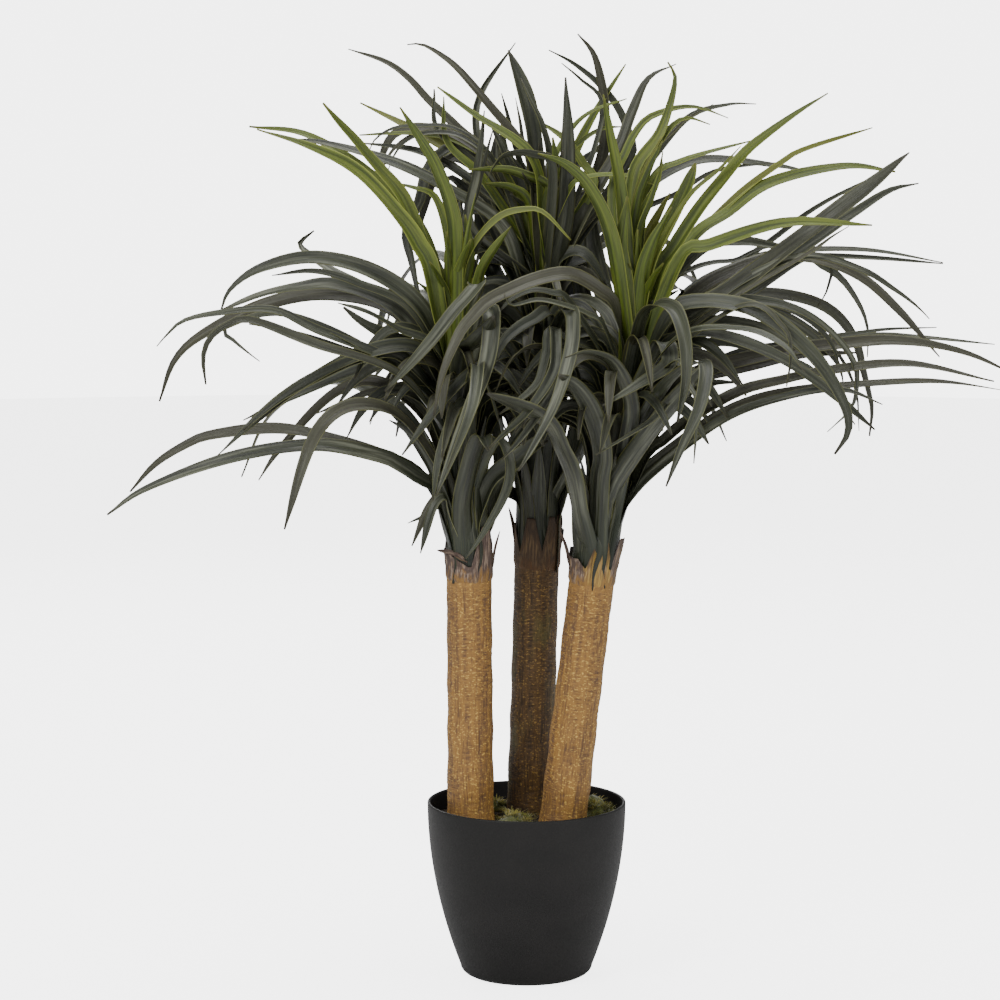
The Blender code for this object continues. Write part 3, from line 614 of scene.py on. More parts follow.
class Skin:
    """A mesh in the making, with the layers that the finishes read.

    Each vertex carries edge (0 at a blade's middle, 1 at its margin), along (0 at the start of
    a piece, 1 at its end), tone (which of a kind's shades it has) and local (a place about a
    cane's own axis). The UV map is in units of UV_MM.
    """

    def __init__(self) -> None:
        """Start an empty mesh with its layers."""
        self.bm = bmesh.new()
        self.uv = self.bm.loops.layers.uv.new("UVMap")
        layers = self.bm.verts.layers
        self.edge = layers.float.new("edge")
        self.along = layers.float.new("along")
        self.tone = layers.float.new("tone")
        self.local = layers.float_vector.new("local")

    def patch(self, columns: int, rows: int, place: Callable[[float, float], Vector],
              size: tuple[float, float] = (UV_MM, UV_MM), tone: float = 0.0,
              shift: float = 0.0) -> list[bmesh.types.BMVert]:
        """Bend a flat grid into a surface.

        Args:
            columns: Faces across.
            rows: Faces along.
            place: Gives the point in millimetres for a share across and a share along.
            size: Real width and length of the surface, for its UV map.
            tone: The surface's shade, from 0 to 1.
            shift: Moves its UV map, so that no two surfaces have one pattern.

        Returns:
            The new vertices.
        """
        made = bmesh.ops.create_grid(self.bm, x_segments=columns, y_segments=rows,
                                     size=0.5)["verts"]
        shares = {}
        for vert in made:
            across, along = vert.co.x + 0.5, vert.co.y + 0.5
            shares[vert] = Vector((across * size[0], along * size[1])) / UV_MM
            vert[self.edge] = abs(2 * across - 1)
            vert[self.along] = along
            vert[self.tone] = tone
            vert.co = place(across, along) * MM
        for face in {face for vert in made for face in vert.link_faces}:
            for loop in face.loops:
                loop[self.uv].uv = shares[loop.vert] + Vector((shift, shift * 3.7))
        return made

    def close(self, verts: list[bmesh.types.BMVert]) -> None:
        """Weld the meeting edges of a tube and cap its ends.

        Args:
            verts: The tube's vertices.
        """
        bmesh.ops.remove_doubles(self.bm, verts=verts, dist=WELD)
        edges = {edge for vert in verts if vert.is_valid for edge in vert.link_edges}
        bmesh.ops.holes_fill(self.bm, edges=[edge for edge in edges if edge.is_boundary], sides=0)

    def piece(self, name: str, slot: str, materials: Sequence[bpy.types.Material],
              nodes: Iterable[str] = (), thickness: float = 0.0) -> bpy.types.Object:
        """Turn the mesh into a piece of the plant.

        Args:
            name: The piece's name.
            slot: The record's material slot; not used.
            materials: Its finish, and for a thin piece the finish of its lower face.
            nodes: The CAD nodes that it stands for.
            thickness: In millimetres, for a surface that is given a wall.

        Returns:
            The new object.
        """
        if not thickness:
            bmesh.ops.recalc_face_normals(self.bm, faces=self.bm.faces)
        mesh = bpy.data.meshes.new(name)
        self.bm.to_mesh(mesh)
        self.bm.free()
        mesh.shade_smooth()
        for material in materials:
            mesh.materials.append(material)
        made = new_object(name, mesh)
        if thickness:
            wall = made.modifiers.new("thickness", "SOLIDIFY")
            wall.thickness = thickness * MM
            wall.offset = 0
            wall.material_offset = len(materials) - 1
        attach(made, "root")
        if nodes:
            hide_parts(*nodes)
        LOG.info("%s: %d faces", name, len(mesh.polygons))
        return made


# ---------------------------------------------------------------------------------- finishes

@dataclass(frozen=True)
class Finish:
    """A named material with a Principled shader, which each kind of finish dresses."""

    name: str

    def material(self) -> bpy.types.Material:
        """Give the material, made once.

        Returns:
            The material of this name.
        """
        made = bpy.data.materials.get(self.name)
        if not made:
            made = bpy.data.materials.new(self.name)
            made.use_nodes = True
            tree = made.node_tree
            feed(tree, tree.nodes["Principled BSDF"], self.dress(tree))
        return made

    def dress(self, tree: bpy.types.NodeTree) -> dict[str, Any]:
        """Add the nodes of this finish.

        Args:
            tree: The material's nodes.

        Returns:
            What each input of the shader is fed with.
        """
        raise NotImplementedError

    @staticmethod
    def grain(tree: bpy.types.NodeTree, place: bpy.types.NodeSocket, size: Point,
              unit: float, spread: tuple[float, float] = (0.35, 0.65),
              detail: float = 3.0) -> bpy.types.Node:
        """Lay a noise of a real grain size over a surface.

        Args:
            tree: The material's nodes.
            place: The coordinates to lay it on.
            size: The grain in millimetres along each coordinate.
            unit: How many millimetres one unit of the coordinates is.
            spread: The noise values that become 0 and 1.
            detail: How many finer octaves it has.

        Returns:
            The last node, whose value runs from 0 to 1.
        """
        scaled = add_node(tree, "ShaderNodeMapping",
                          {"Vector": place, "Scale": tuple(unit / s for s in size)})
        field = add_node(tree, "ShaderNodeTexNoise",
                         {"Vector": scaled, "Scale": 1.0, "Detail": detail})
        return add_node(tree, "ShaderNodeMapRange",
                        {"Value": field, "From Min": spread[0], "From Max": spread[1]})

    @staticmethod
    def layer(tree: bpy.types.NodeTree, base: bpy.types.Node | str, over: bpy.types.Node | str,
              cover: bpy.types.Node | bpy.types.NodeSocket, low: float = 0.0, high: float = 1.0,
              most: float = 1.0) -> bpy.types.Node:
        """Lay one colour over another where a value is high.

        Args:
            tree: The material's nodes.
            base: The colour below.
            over: The colour on top.
            cover: The value that decides.
            low: Up to here nothing is covered.
            high: From here on as much is covered as can be.
            most: The largest share of the upper colour.

        Returns:
            The node that mixes them.
        """
        share = add_node(tree, "ShaderNodeMapRange", {0: cover, 1: low, 2: high, 4: most},
                         interpolation_type="SMOOTHSTEP")
        return add_node(tree, "ShaderNodeMix", {0: share, 6: base, 7: over}, data_type="RGBA")


@dataclass(frozen=True)
class MouldedPolypropylene(Finish):
    """Through-dyed polypropylene out of a spark-eroded mould: matt, with a fine even grain."""

    colour: str = "#181716"
    worn: str = "#211f1e"
    grain_mm: float = 1.1       # the mould's grit is finer: drawn as coarse as it needs to show

    def dress(self, tree: bpy.types.NodeTree) -> dict[str, Any]:
        """Grain the plastic and let it vary a little, as handled plastic does."""
        place = add_node(tree, "ShaderNodeTexCoord").outputs["Object"]
        grit = self.grain(tree, place, (self.grain_mm,) * 3, 1 / MM, (0.3, 0.7), 2.0)
        cloud = self.grain(tree, place, (60.0, 60.0, 35.0), 1 / MM)
        return {
            "Base Color": self.layer(tree, self.colour, self.worn, cloud, 0.2, 1.0, 0.45),
            "Roughness": add_node(tree, "ShaderNodeMapRange", {0: grit, 3: 0.5, 4: 0.64}),
            "Normal": add_node(tree, "ShaderNodeBump",
                               {"Height": grit, "Distance": 0.12 * MM, "Strength": 0.5}),
            "IOR": 1.49,
            "Specular IOR Level": 0.3,
        }


@dataclass(frozen=True)
class CrustedPeat(Finish):
    """Dry peat and bark crumbs on a cast filler: matt, dark, in clods of a few millimetres."""

    deep: str = "#17120e"
    crumb: str = "#46372a"
    bark: str = "#6a5640"

    def dress(self, tree: bpy.types.NodeTree) -> dict[str, Any]:
        """Mix dark and light crumbs."""
        place = add_node(tree, "ShaderNodeTexCoord").outputs["Object"]
        clods = self.grain(tree, place, (4.0,) * 3, 1 / MM)
        crumbs = self.grain(tree, place, (1.2,) * 3, 1 / MM, (0.4, 0.7))
        base = self.layer(tree, self.deep, self.crumb, clods)
        return {
            "Base Color": self.layer(tree, base, self.bark, crumbs, 0.5, 1.0, 0.7),
            "Roughness": 0.92,
            "Normal": add_node(tree, "ShaderNodeBump",
                               {"Height": crumbs, "Distance": 0.8 * MM, "Strength": 0.8}),
        }


@dataclass(frozen=True)
class PreservedMoss(Finish):
    """Dried and dyed cushion moss: soft curled fibres, green below and straw-yellow at the tips."""

    root: str = "#30360f"
    leaf: str = "#7a8027"
    straw: str = "#b9aa55"

    def dress(self, tree: bpy.types.NodeTree) -> dict[str, Any]:
        """Run each fibre from its dark root to a green or straw tip."""
        along, tone = (add_node(tree, "ShaderNodeAttribute", attribute_name=name).outputs["Fac"]
                       for name in ("along", "tone"))
        tip = self.layer(tree, self.leaf, self.straw, tone)
        return {
            "Base Color": self.layer(tree, self.root, tip, along, 0.0, 0.75),
            "Roughness": 0.8,
            "Sheen Weight": 0.3,
        }


@dataclass(frozen=True)
class PressedFibreBark(Finish):
    """Coir fibre moulded round a core and dry-brushed: ochre on the ridges, umber in between,
    deepened by painted highlight and shade.
    """

    hollow_and_shade: str = "#5c422c"
    ridge_and_highlight: str = "#976e33"
    fleck_and_glint: str = "#dcb45c"
    collar: str = "#a67c3c"
    stain: str = "#5f5c2c"
    stained: float = 0.0        # how much of the stain shows

    def dress(self, tree: bpy.types.NodeTree) -> dict[str, Any]:
        """Cross upright fibres with fine wrinkles, lighten what stands out and darken the hollows:
        paint with painted highlight and shade.
        """
        place = add_node(tree, "ShaderNodeAttribute", attribute_name="local").outputs["Vector"]
        height, relief = (add_node(tree, "ShaderNodeAttribute", attribute_name=name).outputs["Fac"]
                          for name in ("along", "edge"))
        fibres = self.grain(tree, place, (1.3, 1.3, 16.0), UV_MM)
        wrinkles = self.grain(tree, place, (6.0, 6.0, 1.2), UV_MM)
        zones = self.grain(tree, place, (12.0, 12.0, 40.0), UV_MM, (0.4, 0.6))
        stripes = self.grain(tree, place, (7.0, 7.0, 110.0), UV_MM, (0.38, 0.62), 2.0)
        weave = add_node(tree, "ShaderNodeMix", {0: zones, 2: fibres, 3: wrinkles})
        raised = add_node(tree, "ShaderNodeMath", {0: weave, 1: relief}, operation="ADD")
        broad = add_node(tree, "ShaderNodeMath", {0: stripes, 1: 0.7, 2: raised},
                         operation="MULTIPLY_ADD")
        # Umber hollows and ochre ridges follow the relief: partly paint, partly painted shade and
        # highlight.
        base = self.layer(tree, self.hollow_and_shade, self.ridge_and_highlight, broad, 0.3, 1.9)
        # Gold flecks on the raised parts: partly paint, partly painted highlight.
        sparks = self.grain(tree, place, (2.6, 2.6, 1.6), UV_MM, (0.53, 0.66), 2.0)
        lit = add_node(tree, "ShaderNodeMath", {0: sparks, 1: broad}, operation="MULTIPLY")
        base = self.layer(tree, base, self.fleck_and_glint, lit, 0.3, 1.7, 0.75)
        furrows = self.grain(tree, place, (2.4, 2.4, 70.0), UV_MM, (0.36, 0.28), 2.0)
        base = self.layer(tree, base, self.hollow_and_shade, furrows, 0.0, 1.0, 0.7)
        patches = self.grain(tree, place, (24.0, 24.0, 70.0), UV_MM, (0.5, 0.7))
        base = self.layer(tree, base, self.stain, patches, 0.0, 1.0, self.stained)
        ragged = add_node(tree, "ShaderNodeMath", {0: wrinkles, 1: 0.02, 2: height},
                          operation="MULTIPLY_ADD")
        return {
            "Base Color": self.layer(tree, base, self.collar, ragged, 0.95, 0.99, 0.4),
            "Roughness": add_node(tree, "ShaderNodeMapRange", {0: weave, 3: 0.75, 4: 0.55}),
            "Normal": add_node(tree, "ShaderNodeBump",
                               {"Height": weave, "Distance": 0.6 * MM, "Strength": 0.7}),
        }


@dataclass(frozen=True)
class PaperyHusk(Finish):
    """Dried leaf sheath of stiffened crepe paper: ribbed, dull umber-mauve, ochre at its foot."""

    mauve: str = "#4f3f37"
    ash: str = "#9f8a78"
    ochre: str = "#b8923f"
    foot: str = "#8f6a33"
    tip: str = "#2f211d"

    def dress(self, tree: bpy.types.NodeTree) -> dict[str, Any]:
        """Rib the paper lengthwise and stain it from the foot up."""
        place = add_node(tree, "ShaderNodeTexCoord").outputs["UV"]
        along, torn, tone = (
            add_node(tree, "ShaderNodeAttribute", attribute_name=name).outputs["Fac"]
            for name in ("along", "edge", "tone"))
        ribs = self.grain(tree, place, (1.4, 24.0, 1.0), UV_MM)
        blotch = self.grain(tree, place, (6.0, 14.0, 1.0), UV_MM)
        smear = self.grain(tree, place, (4.0, 22.0, 1.0), UV_MM, (0.3, 0.7))
        warm = add_node(tree, "ShaderNodeMath", {0: smear, 1: 0.9, 2: tone},
                        operation="MULTIPLY_ADD")
        reach = add_node(tree, "ShaderNodeMath", {0: smear, 1: 0.4, 2: along},
                         operation="MULTIPLY_ADD")
        worn = add_node(tree, "ShaderNodeMath", {0: blotch, 1: ribs}, operation="MULTIPLY")
        base = self.layer(tree, self.mauve, self.ash, worn, 0.05, 0.8, 0.85)
        base = self.layer(tree, base, self.ochre, warm, 0.6, 1.7, 0.9)
        base = self.layer(tree, base, self.mauve, ribs, 0.75, 0.1, 0.5)
        base = self.layer(tree, self.foot, base, reach, 0.1, 0.42)
        return {
            "Base Color": self.layer(tree, base, self.tip, torn, 0.55, 1.0, 0.75),
            "Roughness": 0.74,
            "Normal": add_node(tree, "ShaderNodeBump",
                               {"Height": ribs, "Distance": 0.5 * MM, "Strength": 0.7}),
        }


@dataclass(frozen=True)
class CoatedLeaf(Finish):
    """Calendered, soft-coated polyester leaf: satin, with printed veins, a pale cut margin, and
    pale streaks of dust and painted sheen.
    """

    deep: str
    mid: str
    warm: str
    margin: str
    dust_and_sheen: str
    dust_and_sheen_share: float
    stem: str
    rough: float = 0.36
    # The colour of the painted shade where the margins wrap the shoot.
    fold_shade: str = "#12150b"

    def dress(self, tree: bpy.types.NodeTree) -> dict[str, Any]:
        """Vein the leaf, shade it from leaf to leaf, and let its margin show."""
        place = add_node(tree, "ShaderNodeTexCoord").outputs["UV"]
        edge, along, tone = (
            add_node(tree, "ShaderNodeAttribute", attribute_name=name).outputs["Fac"]
            for name in ("edge", "along", "tone"))
        veins = self.grain(tree, place, (0.9, 70.0, 1.0), UV_MM)
        bands = self.grain(tree, place, (3.5, 110.0, 1.0), UV_MM)
        # Pale grey streaks: partly dust, partly painted sheen.
        dust_and_sheen_streaks = self.grain(tree, place, (4.5, 90.0, 1.0), UV_MM, (0.42, 0.7), 4.0)
        base = self.layer(tree, self.deep, self.mid, bands)
        base = self.layer(tree, base, self.warm, tone, 0.72, 1.0, 0.55)
        fresh = add_node(tree, "ShaderNodeMapRange", {0: tone, 2: 0.5, 3: 1.0, 4: 0.4})
        dust_and_sheen_cover = add_node(tree, "ShaderNodeMath", {0: dust_and_sheen_streaks, 1: fresh}, operation="MULTIPLY")
        # Lay the streaks of dust and painted sheen over the leaf.
        base = self.layer(tree, base, self.dust_and_sheen, dust_and_sheen_cover, 0.0, 1.0, self.dust_and_sheen_share)
        base = self.layer(tree, self.stem, base, along, 0.08, 0.38)
        base = self.layer(tree, base, self.margin, veins, 0.6, 1.0, 0.13)
        opened = add_node(tree, "ShaderNodeMapRange", {0: along, 1: 0.1, 2: 0.32, 3: 0.0})
        rim = add_node(tree, "ShaderNodeMath", {0: edge, 1: opened}, operation="MULTIPLY")
        base = self.layer(tree, base, self.margin, rim, 0.86, 1.0, 0.6)
        # Painted shade on the margins near the stem, where they wrap the shoot.
        folded = add_node(tree, "ShaderNodeMapRange", {0: along, 1: 0.08, 2: 0.26, 3: 1.0, 4: 0.0})
        crease_shade = add_node(tree, "ShaderNodeMath", {0: edge, 1: folded}, operation="MULTIPLY")
        base = self.layer(tree, base, self.fold_shade, crease_shade, 0.45, 1.0, 0.85)
        keel = add_node(tree, "ShaderNodeMapRange", {0: edge, 2: 0.14})
        return {
            "Base Color": self.layer(tree, base, self.warm, along, 0.95, 1.0, 0.6),
            "Roughness": add_node(tree, "ShaderNodeMapRange",
                                  {0: veins, 3: self.rough - 0.05, 4: self.rough + 0.12}),
            "Normal": add_node(tree, "ShaderNodeBump", {
                "Height": add_node(tree, "ShaderNodeMath", {0: keel, 1: veins}, operation="ADD"),
                "Distance": 0.25 * MM, "Strength": 0.7}),
            "Specular IOR Level": 0.5,
        }


POT_PLASTIC = MouldedPolypropylene("pot_polypropylene_moulded")
PEAT = CrustedPeat("peat_crusted")
MOSS = PreservedMoss("moss_preserved")
BARK = PressedFibreBark("bark_coir_pressed")
# The back cane's bark: a darker coir, with painted shade over it.
SHADED_BARK = PressedFibreBark("bark_coir_pressed_dark_and_shaded", "#2d1f10", "#5c431f", "#a07f3f", "#4c3618",
                               "#565327", 0.6)
HUSK = PaperyHusk("husk_crepe_paper")
# The back husk: the same paper, darker all over as painted shade.
SHADED_HUSK = PaperyHusk("husk_crepe_paper_painted_shade", "#3f2f1e", "#6d5739", "#765527", "#54391b",
                         "#3a2c1e")
DARK_LEAF = CoatedLeaf("leaf_old_upper", "#161a0e", "#2b2f1d", "#332d1e", "#6b6b38", "#8e907c",
                       0.5, "#1e2616")
DARK_UNDER = CoatedLeaf("leaf_old_lower", "#20241a", "#373b2a", "#3a3526", "#6b6b38", "#939582",
                        0.52, "#232b1a", 0.46)
LIGHT_LEAF = CoatedLeaf("leaf_young_upper", "#2e390b", "#546315", "#68661b", "#9aa044", "#868d3d",
                        0.3, "#2f3b0d", 0.42)
LIGHT_UNDER = CoatedLeaf("leaf_young_lower", "#384412", "#5f6c1f", "#6d6b21", "#9aa044", "#8c9246",
                         0.3, "#364313", 0.5)
LEAF_FINISHES = {Kind.DARK: (DARK_LEAF, DARK_UNDER), Kind.LIGHT: (LIGHT_LEAF, LIGHT_UNDER)}


# ------------------------------------------------------------------------------ sub-assemblies

@dataclass
class Pot:
    """The turned pot: a thin tapering wall with a rounded lip and a rounded foot."""

    rim_radius: float = 95.0
    height: float = 168.0
    taper: float = 35.0         # how much narrower the foot is than the rim, in radius
    belly: float = 1.95         # how full the side is: 1 is a straight cone
    wall: float = 3.0
    floor: float = 4.0
    foot_round: tuple[float, float] = (13.0, 9.0)      # its width and its height
    turn: int = 15              # degrees from one point of a rounding to the next
    wall_steps: int = 28
    sides: int = 128

    def radius(self, z: float) -> float:
        """Give the outer radius at a height.

        Args:
            z: The height in millimetres.

        Returns:
            The radius in millimetres.
        """
        return self.rim_radius - self.taper * (1 - z / self.height) ** self.belly

    def side(self, inset: float, bottom: float, top: float) -> list[tuple[float, float]]:
        """Give the wall's profile, moved in by an inset.

        Args:
            inset: How far inside the outer face.
            bottom: Height of the flat bottom.
            top: Height at which the profile ends.

        Returns:
            Radius and height of each point, from the bottom up.
        """
        width, height = self.foot_round
        corner = self.radius(height) - width
        foot = [(corner + (width - inset) * math.sin(a),
                 bottom + (height - bottom) * (1 - math.cos(a)))
                for a in map(math.radians, range(0, 90, self.turn))]
        heights = [height + (top - height) * i / self.wall_steps
                   for i in range(self.wall_steps + 1)]
        return foot + [(self.radius(z) - inset, z) for z in heights]

    def lip(self) -> list[tuple[float, float]]:
        """Give the rounded top of the wall.

        Returns:
            Radius and height of each point, from the outside in.
        """
        half = self.wall / 2
        middle, top = self.radius(self.height) - half, self.height - half
        return [(middle + half * math.cos(a), top + half * math.sin(a))
                for a in map(math.radians, range(self.turn, 180, self.turn))]

    def build(self) -> None:
        """Spin the wall and make the pot."""
        top = self.height - self.wall / 2
        profile = [(0.0, 0.0), *self.side(0.0, 0.0, top), *self.lip(),
                   *reversed(self.side(self.wall, self.floor, top)), (0.0, self.floor)]
        spin("pot_shell", profile, self.sides).piece("pot_shell", "pot_plastic",
                                                     [POT_PLASTIC.material()], ["pot"])


def spin(name: str, profile: Sequence[tuple[float, float]], sides: int) -> Skin:
    """Turn a profile into a closed solid.

    Args:
        name: What is turned, for the log.
        profile: Radius and height of each point; it starts and ends on the axis.
        sides: How many steps round.

    Returns:
        The solid, still open to shaping.
    """
    skin = Skin()
    verts = [skin.bm.verts.new((radius * MM, 0, z * MM)) for radius, z in profile]
    edges = [skin.bm.edges.new(pair) for pair in zip(verts, verts[1:])]
    bmesh.ops.spin(skin.bm, geom=verts + edges, axis=(0, 0, 1), angle=math.tau, steps=sides,
                   use_merge=True)
    bmesh.ops.remove_doubles(skin.bm, verts=skin.bm.verts, dist=WELD)
    LOG.info("turned %s", name)
    return skin


@dataclass
class Planting:
    """The filled pot's surface: crusted peat, loose crumbs on it, and three cushions of moss."""

    pot: Pot
    top: float = 150.0
    gap: float = 0.3            # to the pot
    clearance: float = 3.3      # the pot's wall and the gap
    steps: int = 30
    sides: int = 96
    unevenness: tuple[tuple[float, float], ...] = ((1.6, 17), (0.9, 5), (0.5, 2))
    crumbs: int = 520
    tufts: int = 85
    fibres: int = 17            # in each tuft of moss
    mound_faces: tuple[int, int] = (36, 10)
    cushions: tuple[tuple[str, float, float, float, float, float], ...] = (
        ("moss_front", -12, -22, 20, 34, 17),
        ("moss_right", 66, 8, 24, 38, 28),
        ("moss_back", -34, 44, 28, 22, 15),
    )

    def build(self) -> None:
        """Make the ground and the moss on it."""
        self.build_ground()
        for number, cushion in enumerate(self.cushions):
            self.build_moss(*cushion, random.Random(40 + number))

    def build_ground(self) -> None:
        """Spin the plug, roughen its top and scatter crumbs on it."""
        edge = self.pot.radius(self.top) - self.clearance
        bottom = self.pot.floor + self.gap
        wall = self.pot.side(self.clearance, bottom, self.top - 1)
        surface = [(edge * i / self.steps, self.top) for i in range(self.steps, -1, -1)]
        skin = spin("peat", [(0.0, bottom), *wall, *surface], self.sides)
        for vert in skin.bm.verts:
            if vert.co.z > (self.top - 0.5) * MM:
                vert.co.z += self.swell(vert.co / MM) * MM
        self.scatter_crumbs(skin, edge - 4)
        skin.piece("peat_surface", "planting_fill", [PEAT.material()], ["planting_fill"])

    def scatter_crumbs(self, skin: Skin, far: float) -> None:
        """Scatter loose crumbs on the ground.

        Args:
            skin: The ground's mesh.
            far: How far from the pot's axis they may lie.
        """
        chance = random.Random(7)
        for _ in range(self.crumbs):
            angle, reach = chance.uniform(0, math.tau), far * math.sqrt(chance.random())
            place = Vector((reach * math.cos(angle), reach * math.sin(angle), self.top))
            place.z += self.swell(place) + 0.4
            size = chance.uniform(1.2, 3.6)
            turn = Matrix.Rotation(chance.uniform(0, math.tau), 4, Vector((
                chance.uniform(-1, 1), chance.uniform(-1, 1), 1)).normalized())
            shape = Matrix.Diagonal((size, size * chance.uniform(0.5, 0.9),
                                     size * chance.uniform(0.3, 0.7), 1)) * MM
            shape[3][3] = 1
            bmesh.ops.create_icosphere(skin.bm, subdivisions=1, radius=1.0,
                                       matrix=Matrix.Translation(place * MM) @ turn @ shape)

    def swell(self, place: Vector) -> float:
        """Give the ground's unevenness at a place.

        Args:
            place: The place in millimetres.

        Returns:
            How far the ground rises there, in millimetres.
        """
        flat = Vector((place.x, place.y, 0))
        return sum(height * noise.noise(flat / width) for height, width in self.unevenness)

    @staticmethod
    def fibre() -> bpy.types.Mesh:
        """Make one straight fibre of moss, of length 1 and radius 1, that can be bent.

        Returns:
            Its mesh.
        """
        bm = bmesh.new()
        bmesh.ops.create_cone(bm, cap_ends=True, segments=3, radius1=1, radius2=0.35, depth=1,
                              matrix=Matrix.Translation((0, 0, 0.5)))
        upright = [edge for edge in bm.edges
                   if abs(edge.verts[0].co.z - edge.verts[1].co.z) > 0.5]
        bmesh.ops.subdivide_edges(bm, edges=upright, cuts=4)
        mesh = bpy.data.meshes.new("fibre")
        bm.to_mesh(mesh)
        bm.free()
        return mesh

    def build_moss(self, name: str, x: float, y: float, half_width: float, half_depth: float,
                   height: float, chance: random.Random) -> None:
        """Make one cushion: a low mound with curled fibres standing out of it.

        Args:
            name: The CAD node's name.
            x: Its middle, across.
            y: Its middle, front to back.
            half_width: Its reach across.
            half_depth: Its reach front to back.
            height: How high it stands.
            chance: The cushion's own random numbers.
        """
        skin = Skin()

        def mound(across: float, along: float) -> Vector:
            """Give a point of the cushion under the fibres.

            Args:
                across: Its share of the way round.
                along: Its share of the way from the rim to the middle.

            Returns:
                The point in millimetres.
            """
            angle, level = across * math.tau, (1 - along) * math.pi / 2
            out = Vector((math.cos(angle), math.sin(angle), along)) * math.sin(level)
            rough = 1 + 0.3 * noise.noise(out * 2.2 + Vector((x, y, 0)))
            lift = (0.72 + 0.3 * noise.noise(out * 2.7 + Vector((y, x, 3)))) * height * (
                1 - math.cos(math.pi / 2 * along) ** 1.6)
            return Vector((x + half_width * 0.92 * rough * math.sin(level) * math.cos(angle),
                           y + half_depth * 0.92 * rough * math.sin(level) * math.sin(angle),
                           self.top - 2 + lift))

        template = self.fibre()
        for i in range(self.tufts * self.fibres):
            if i % self.fibres == 0:
                angle, reach = chance.uniform(0, math.tau), math.sqrt(chance.random())
                heart = mound(angle / math.tau, 1 - reach) - Vector((0, 0, 1.5))
                tall, shade = chance.uniform(5.0, 11.0) * (1 - 0.25 * reach), chance.random()
                bend = Vector((chance.uniform(-1, 1), chance.uniform(-1, 1), -0.35))
                lean = Vector((math.cos(angle), math.sin(angle), 0)) * reach * 0.8
                lean += Vector((chance.uniform(-0.5, 0.5), chance.uniform(-0.5, 0.5), 1.0))
            aside = Vector((chance.gauss(0, 1), chance.gauss(0, 1), 0))
            root = heart + aside * 1.3
            way = (lean + aside * 0.28).normalized() * tall * chance.uniform(0.6, 1.05)
            curl = (bend + aside * 0.5) * tall * 0.55
            thick = chance.uniform(0.3, 0.62)
            before = len(skin.bm.verts)
            skin.bm.from_mesh(template)
            skin.bm.verts.ensure_lookup_table()
            for vert in skin.bm.verts[before:]:
                share = vert.co.z
                ring = Vector((vert.co.x, vert.co.y, 0)) * thick
                vert.co = (root + way * share + curl * share ** 2 + ring) * MM
                vert[skin.along] = share
                vert[skin.tone] = 0.75 * shade + 0.25 * (i % 5) / 4
        bpy.data.meshes.remove(template)
        cushion = skin.patch(*self.mound_faces, mound)
        for vert in cushion:
            vert[skin.along] = 0.25
        skin.close(cushion)
        skin.piece(name.replace("moss", "moss_cushion"), "moss", [MOSS.material()], [name])


@dataclass
class Cane:
    """A trunk of pressed fibre, with growth rings, upright ridges and cross wrinkles."""

    side: Side
    foot: Vector
    top: Vector
    radius: float = 21.5
    flare: float = 2.5          # the foot is this much thicker
    wave: float = 0.45          # height of the growth rings
    rings: int = 13
    columns: int = 100
    rows: int = 230

    @property
    def direction(self) -> Vector:
        """The cane's own direction, from foot to top."""
        return (self.top - self.foot).normalized()

    def around(self, angle: float) -> Vector:
        """Give the direction out of the cane at an angle.

        Args:
            angle: In radians, from the front towards +X.

        Returns:
            A unit vector square to the cane.
        """
        return UP.rotation_difference(self.direction) @ outwards(angle)

    def relief(self, out: Vector, z: float) -> float:
        """Give how far the bark stands out at a place, from -1 to 1.

        Args:
            out: The unit direction out of the cane.
            z: The height along the cane in millimetres.

        Returns:
            The bark's relief.
        """
        place = out * self.radius
        seed = 30.0 * len(self.side.value)
        upright = noise.noise(Vector((place.x / 2.6, place.y / 2.6, z / 40 + seed)))
        wrinkle = noise.noise(Vector((place.x / 9, place.y / 9, z / 2.4 + seed)))
        zone = smooth(-0.15, 0.25, noise.noise(Vector((place.x / 16, place.y / 16, z / 60 - seed))))
        knots = noise.noise(Vector((place.x / 3, place.y / 3, z / 3 + seed)))
        return upright * (1 - 0.6 * zone) + wrinkle * (0.35 + 0.65 * zone) + 0.35 * knots

    def build(self) -> None:
        """Bend a grid round the cane's axis and raise the bark."""
        skin = Skin()
        length = (self.top - self.foot).length

        def place(across: float, along: float) -> Vector:
            """Give a point of the bark.

            Args:
                across: Its share of the way round.
                along: Its share of the way up.

            Returns:
                The point in millimetres.
            """
            angle = across * math.tau
            out = self.around(angle)
            spread = self.radius + self.flare * (1 - along) ** 3 + self.wave * math.sin(
                math.pi * self.rings * along) * (1 - along ** 6)
            lumps = 0.35 * noise.noise(Vector((math.sin(angle), math.cos(angle),
                                              along * 6 + len(self.side.value))))
            relief = self.relief(out, along * length)
            quiet = 1 - 0.7 * smooth(0.93, 1.0, along)
            spread += lumps + 0.4 * relief * quiet - 0.15
            return self.foot.lerp(self.top, along) + out * spread

        verts = skin.patch(self.columns, self.rows, place)
        turn = self.direction.rotation_difference(UP)
        for vert in verts:
            flat = turn @ (vert.co / MM - self.foot)
            vert[skin.local] = flat / UV_MM
            out = Vector((flat.x, flat.y, 0)).normalized()
            vert[skin.edge] = 0.5 + 0.5 * self.relief(turn.inverted() @ out, flat.z)
        skin.close(verts)
        # The back cane's bark is darker and carries painted shade.
        finish = SHADED_BARK if self.side is Side.BACK else BARK
        skin.piece(f"bark_{self.side.value}", "cane_bark", [finish.material()],
                   [f"cane_{self.side.value}"])


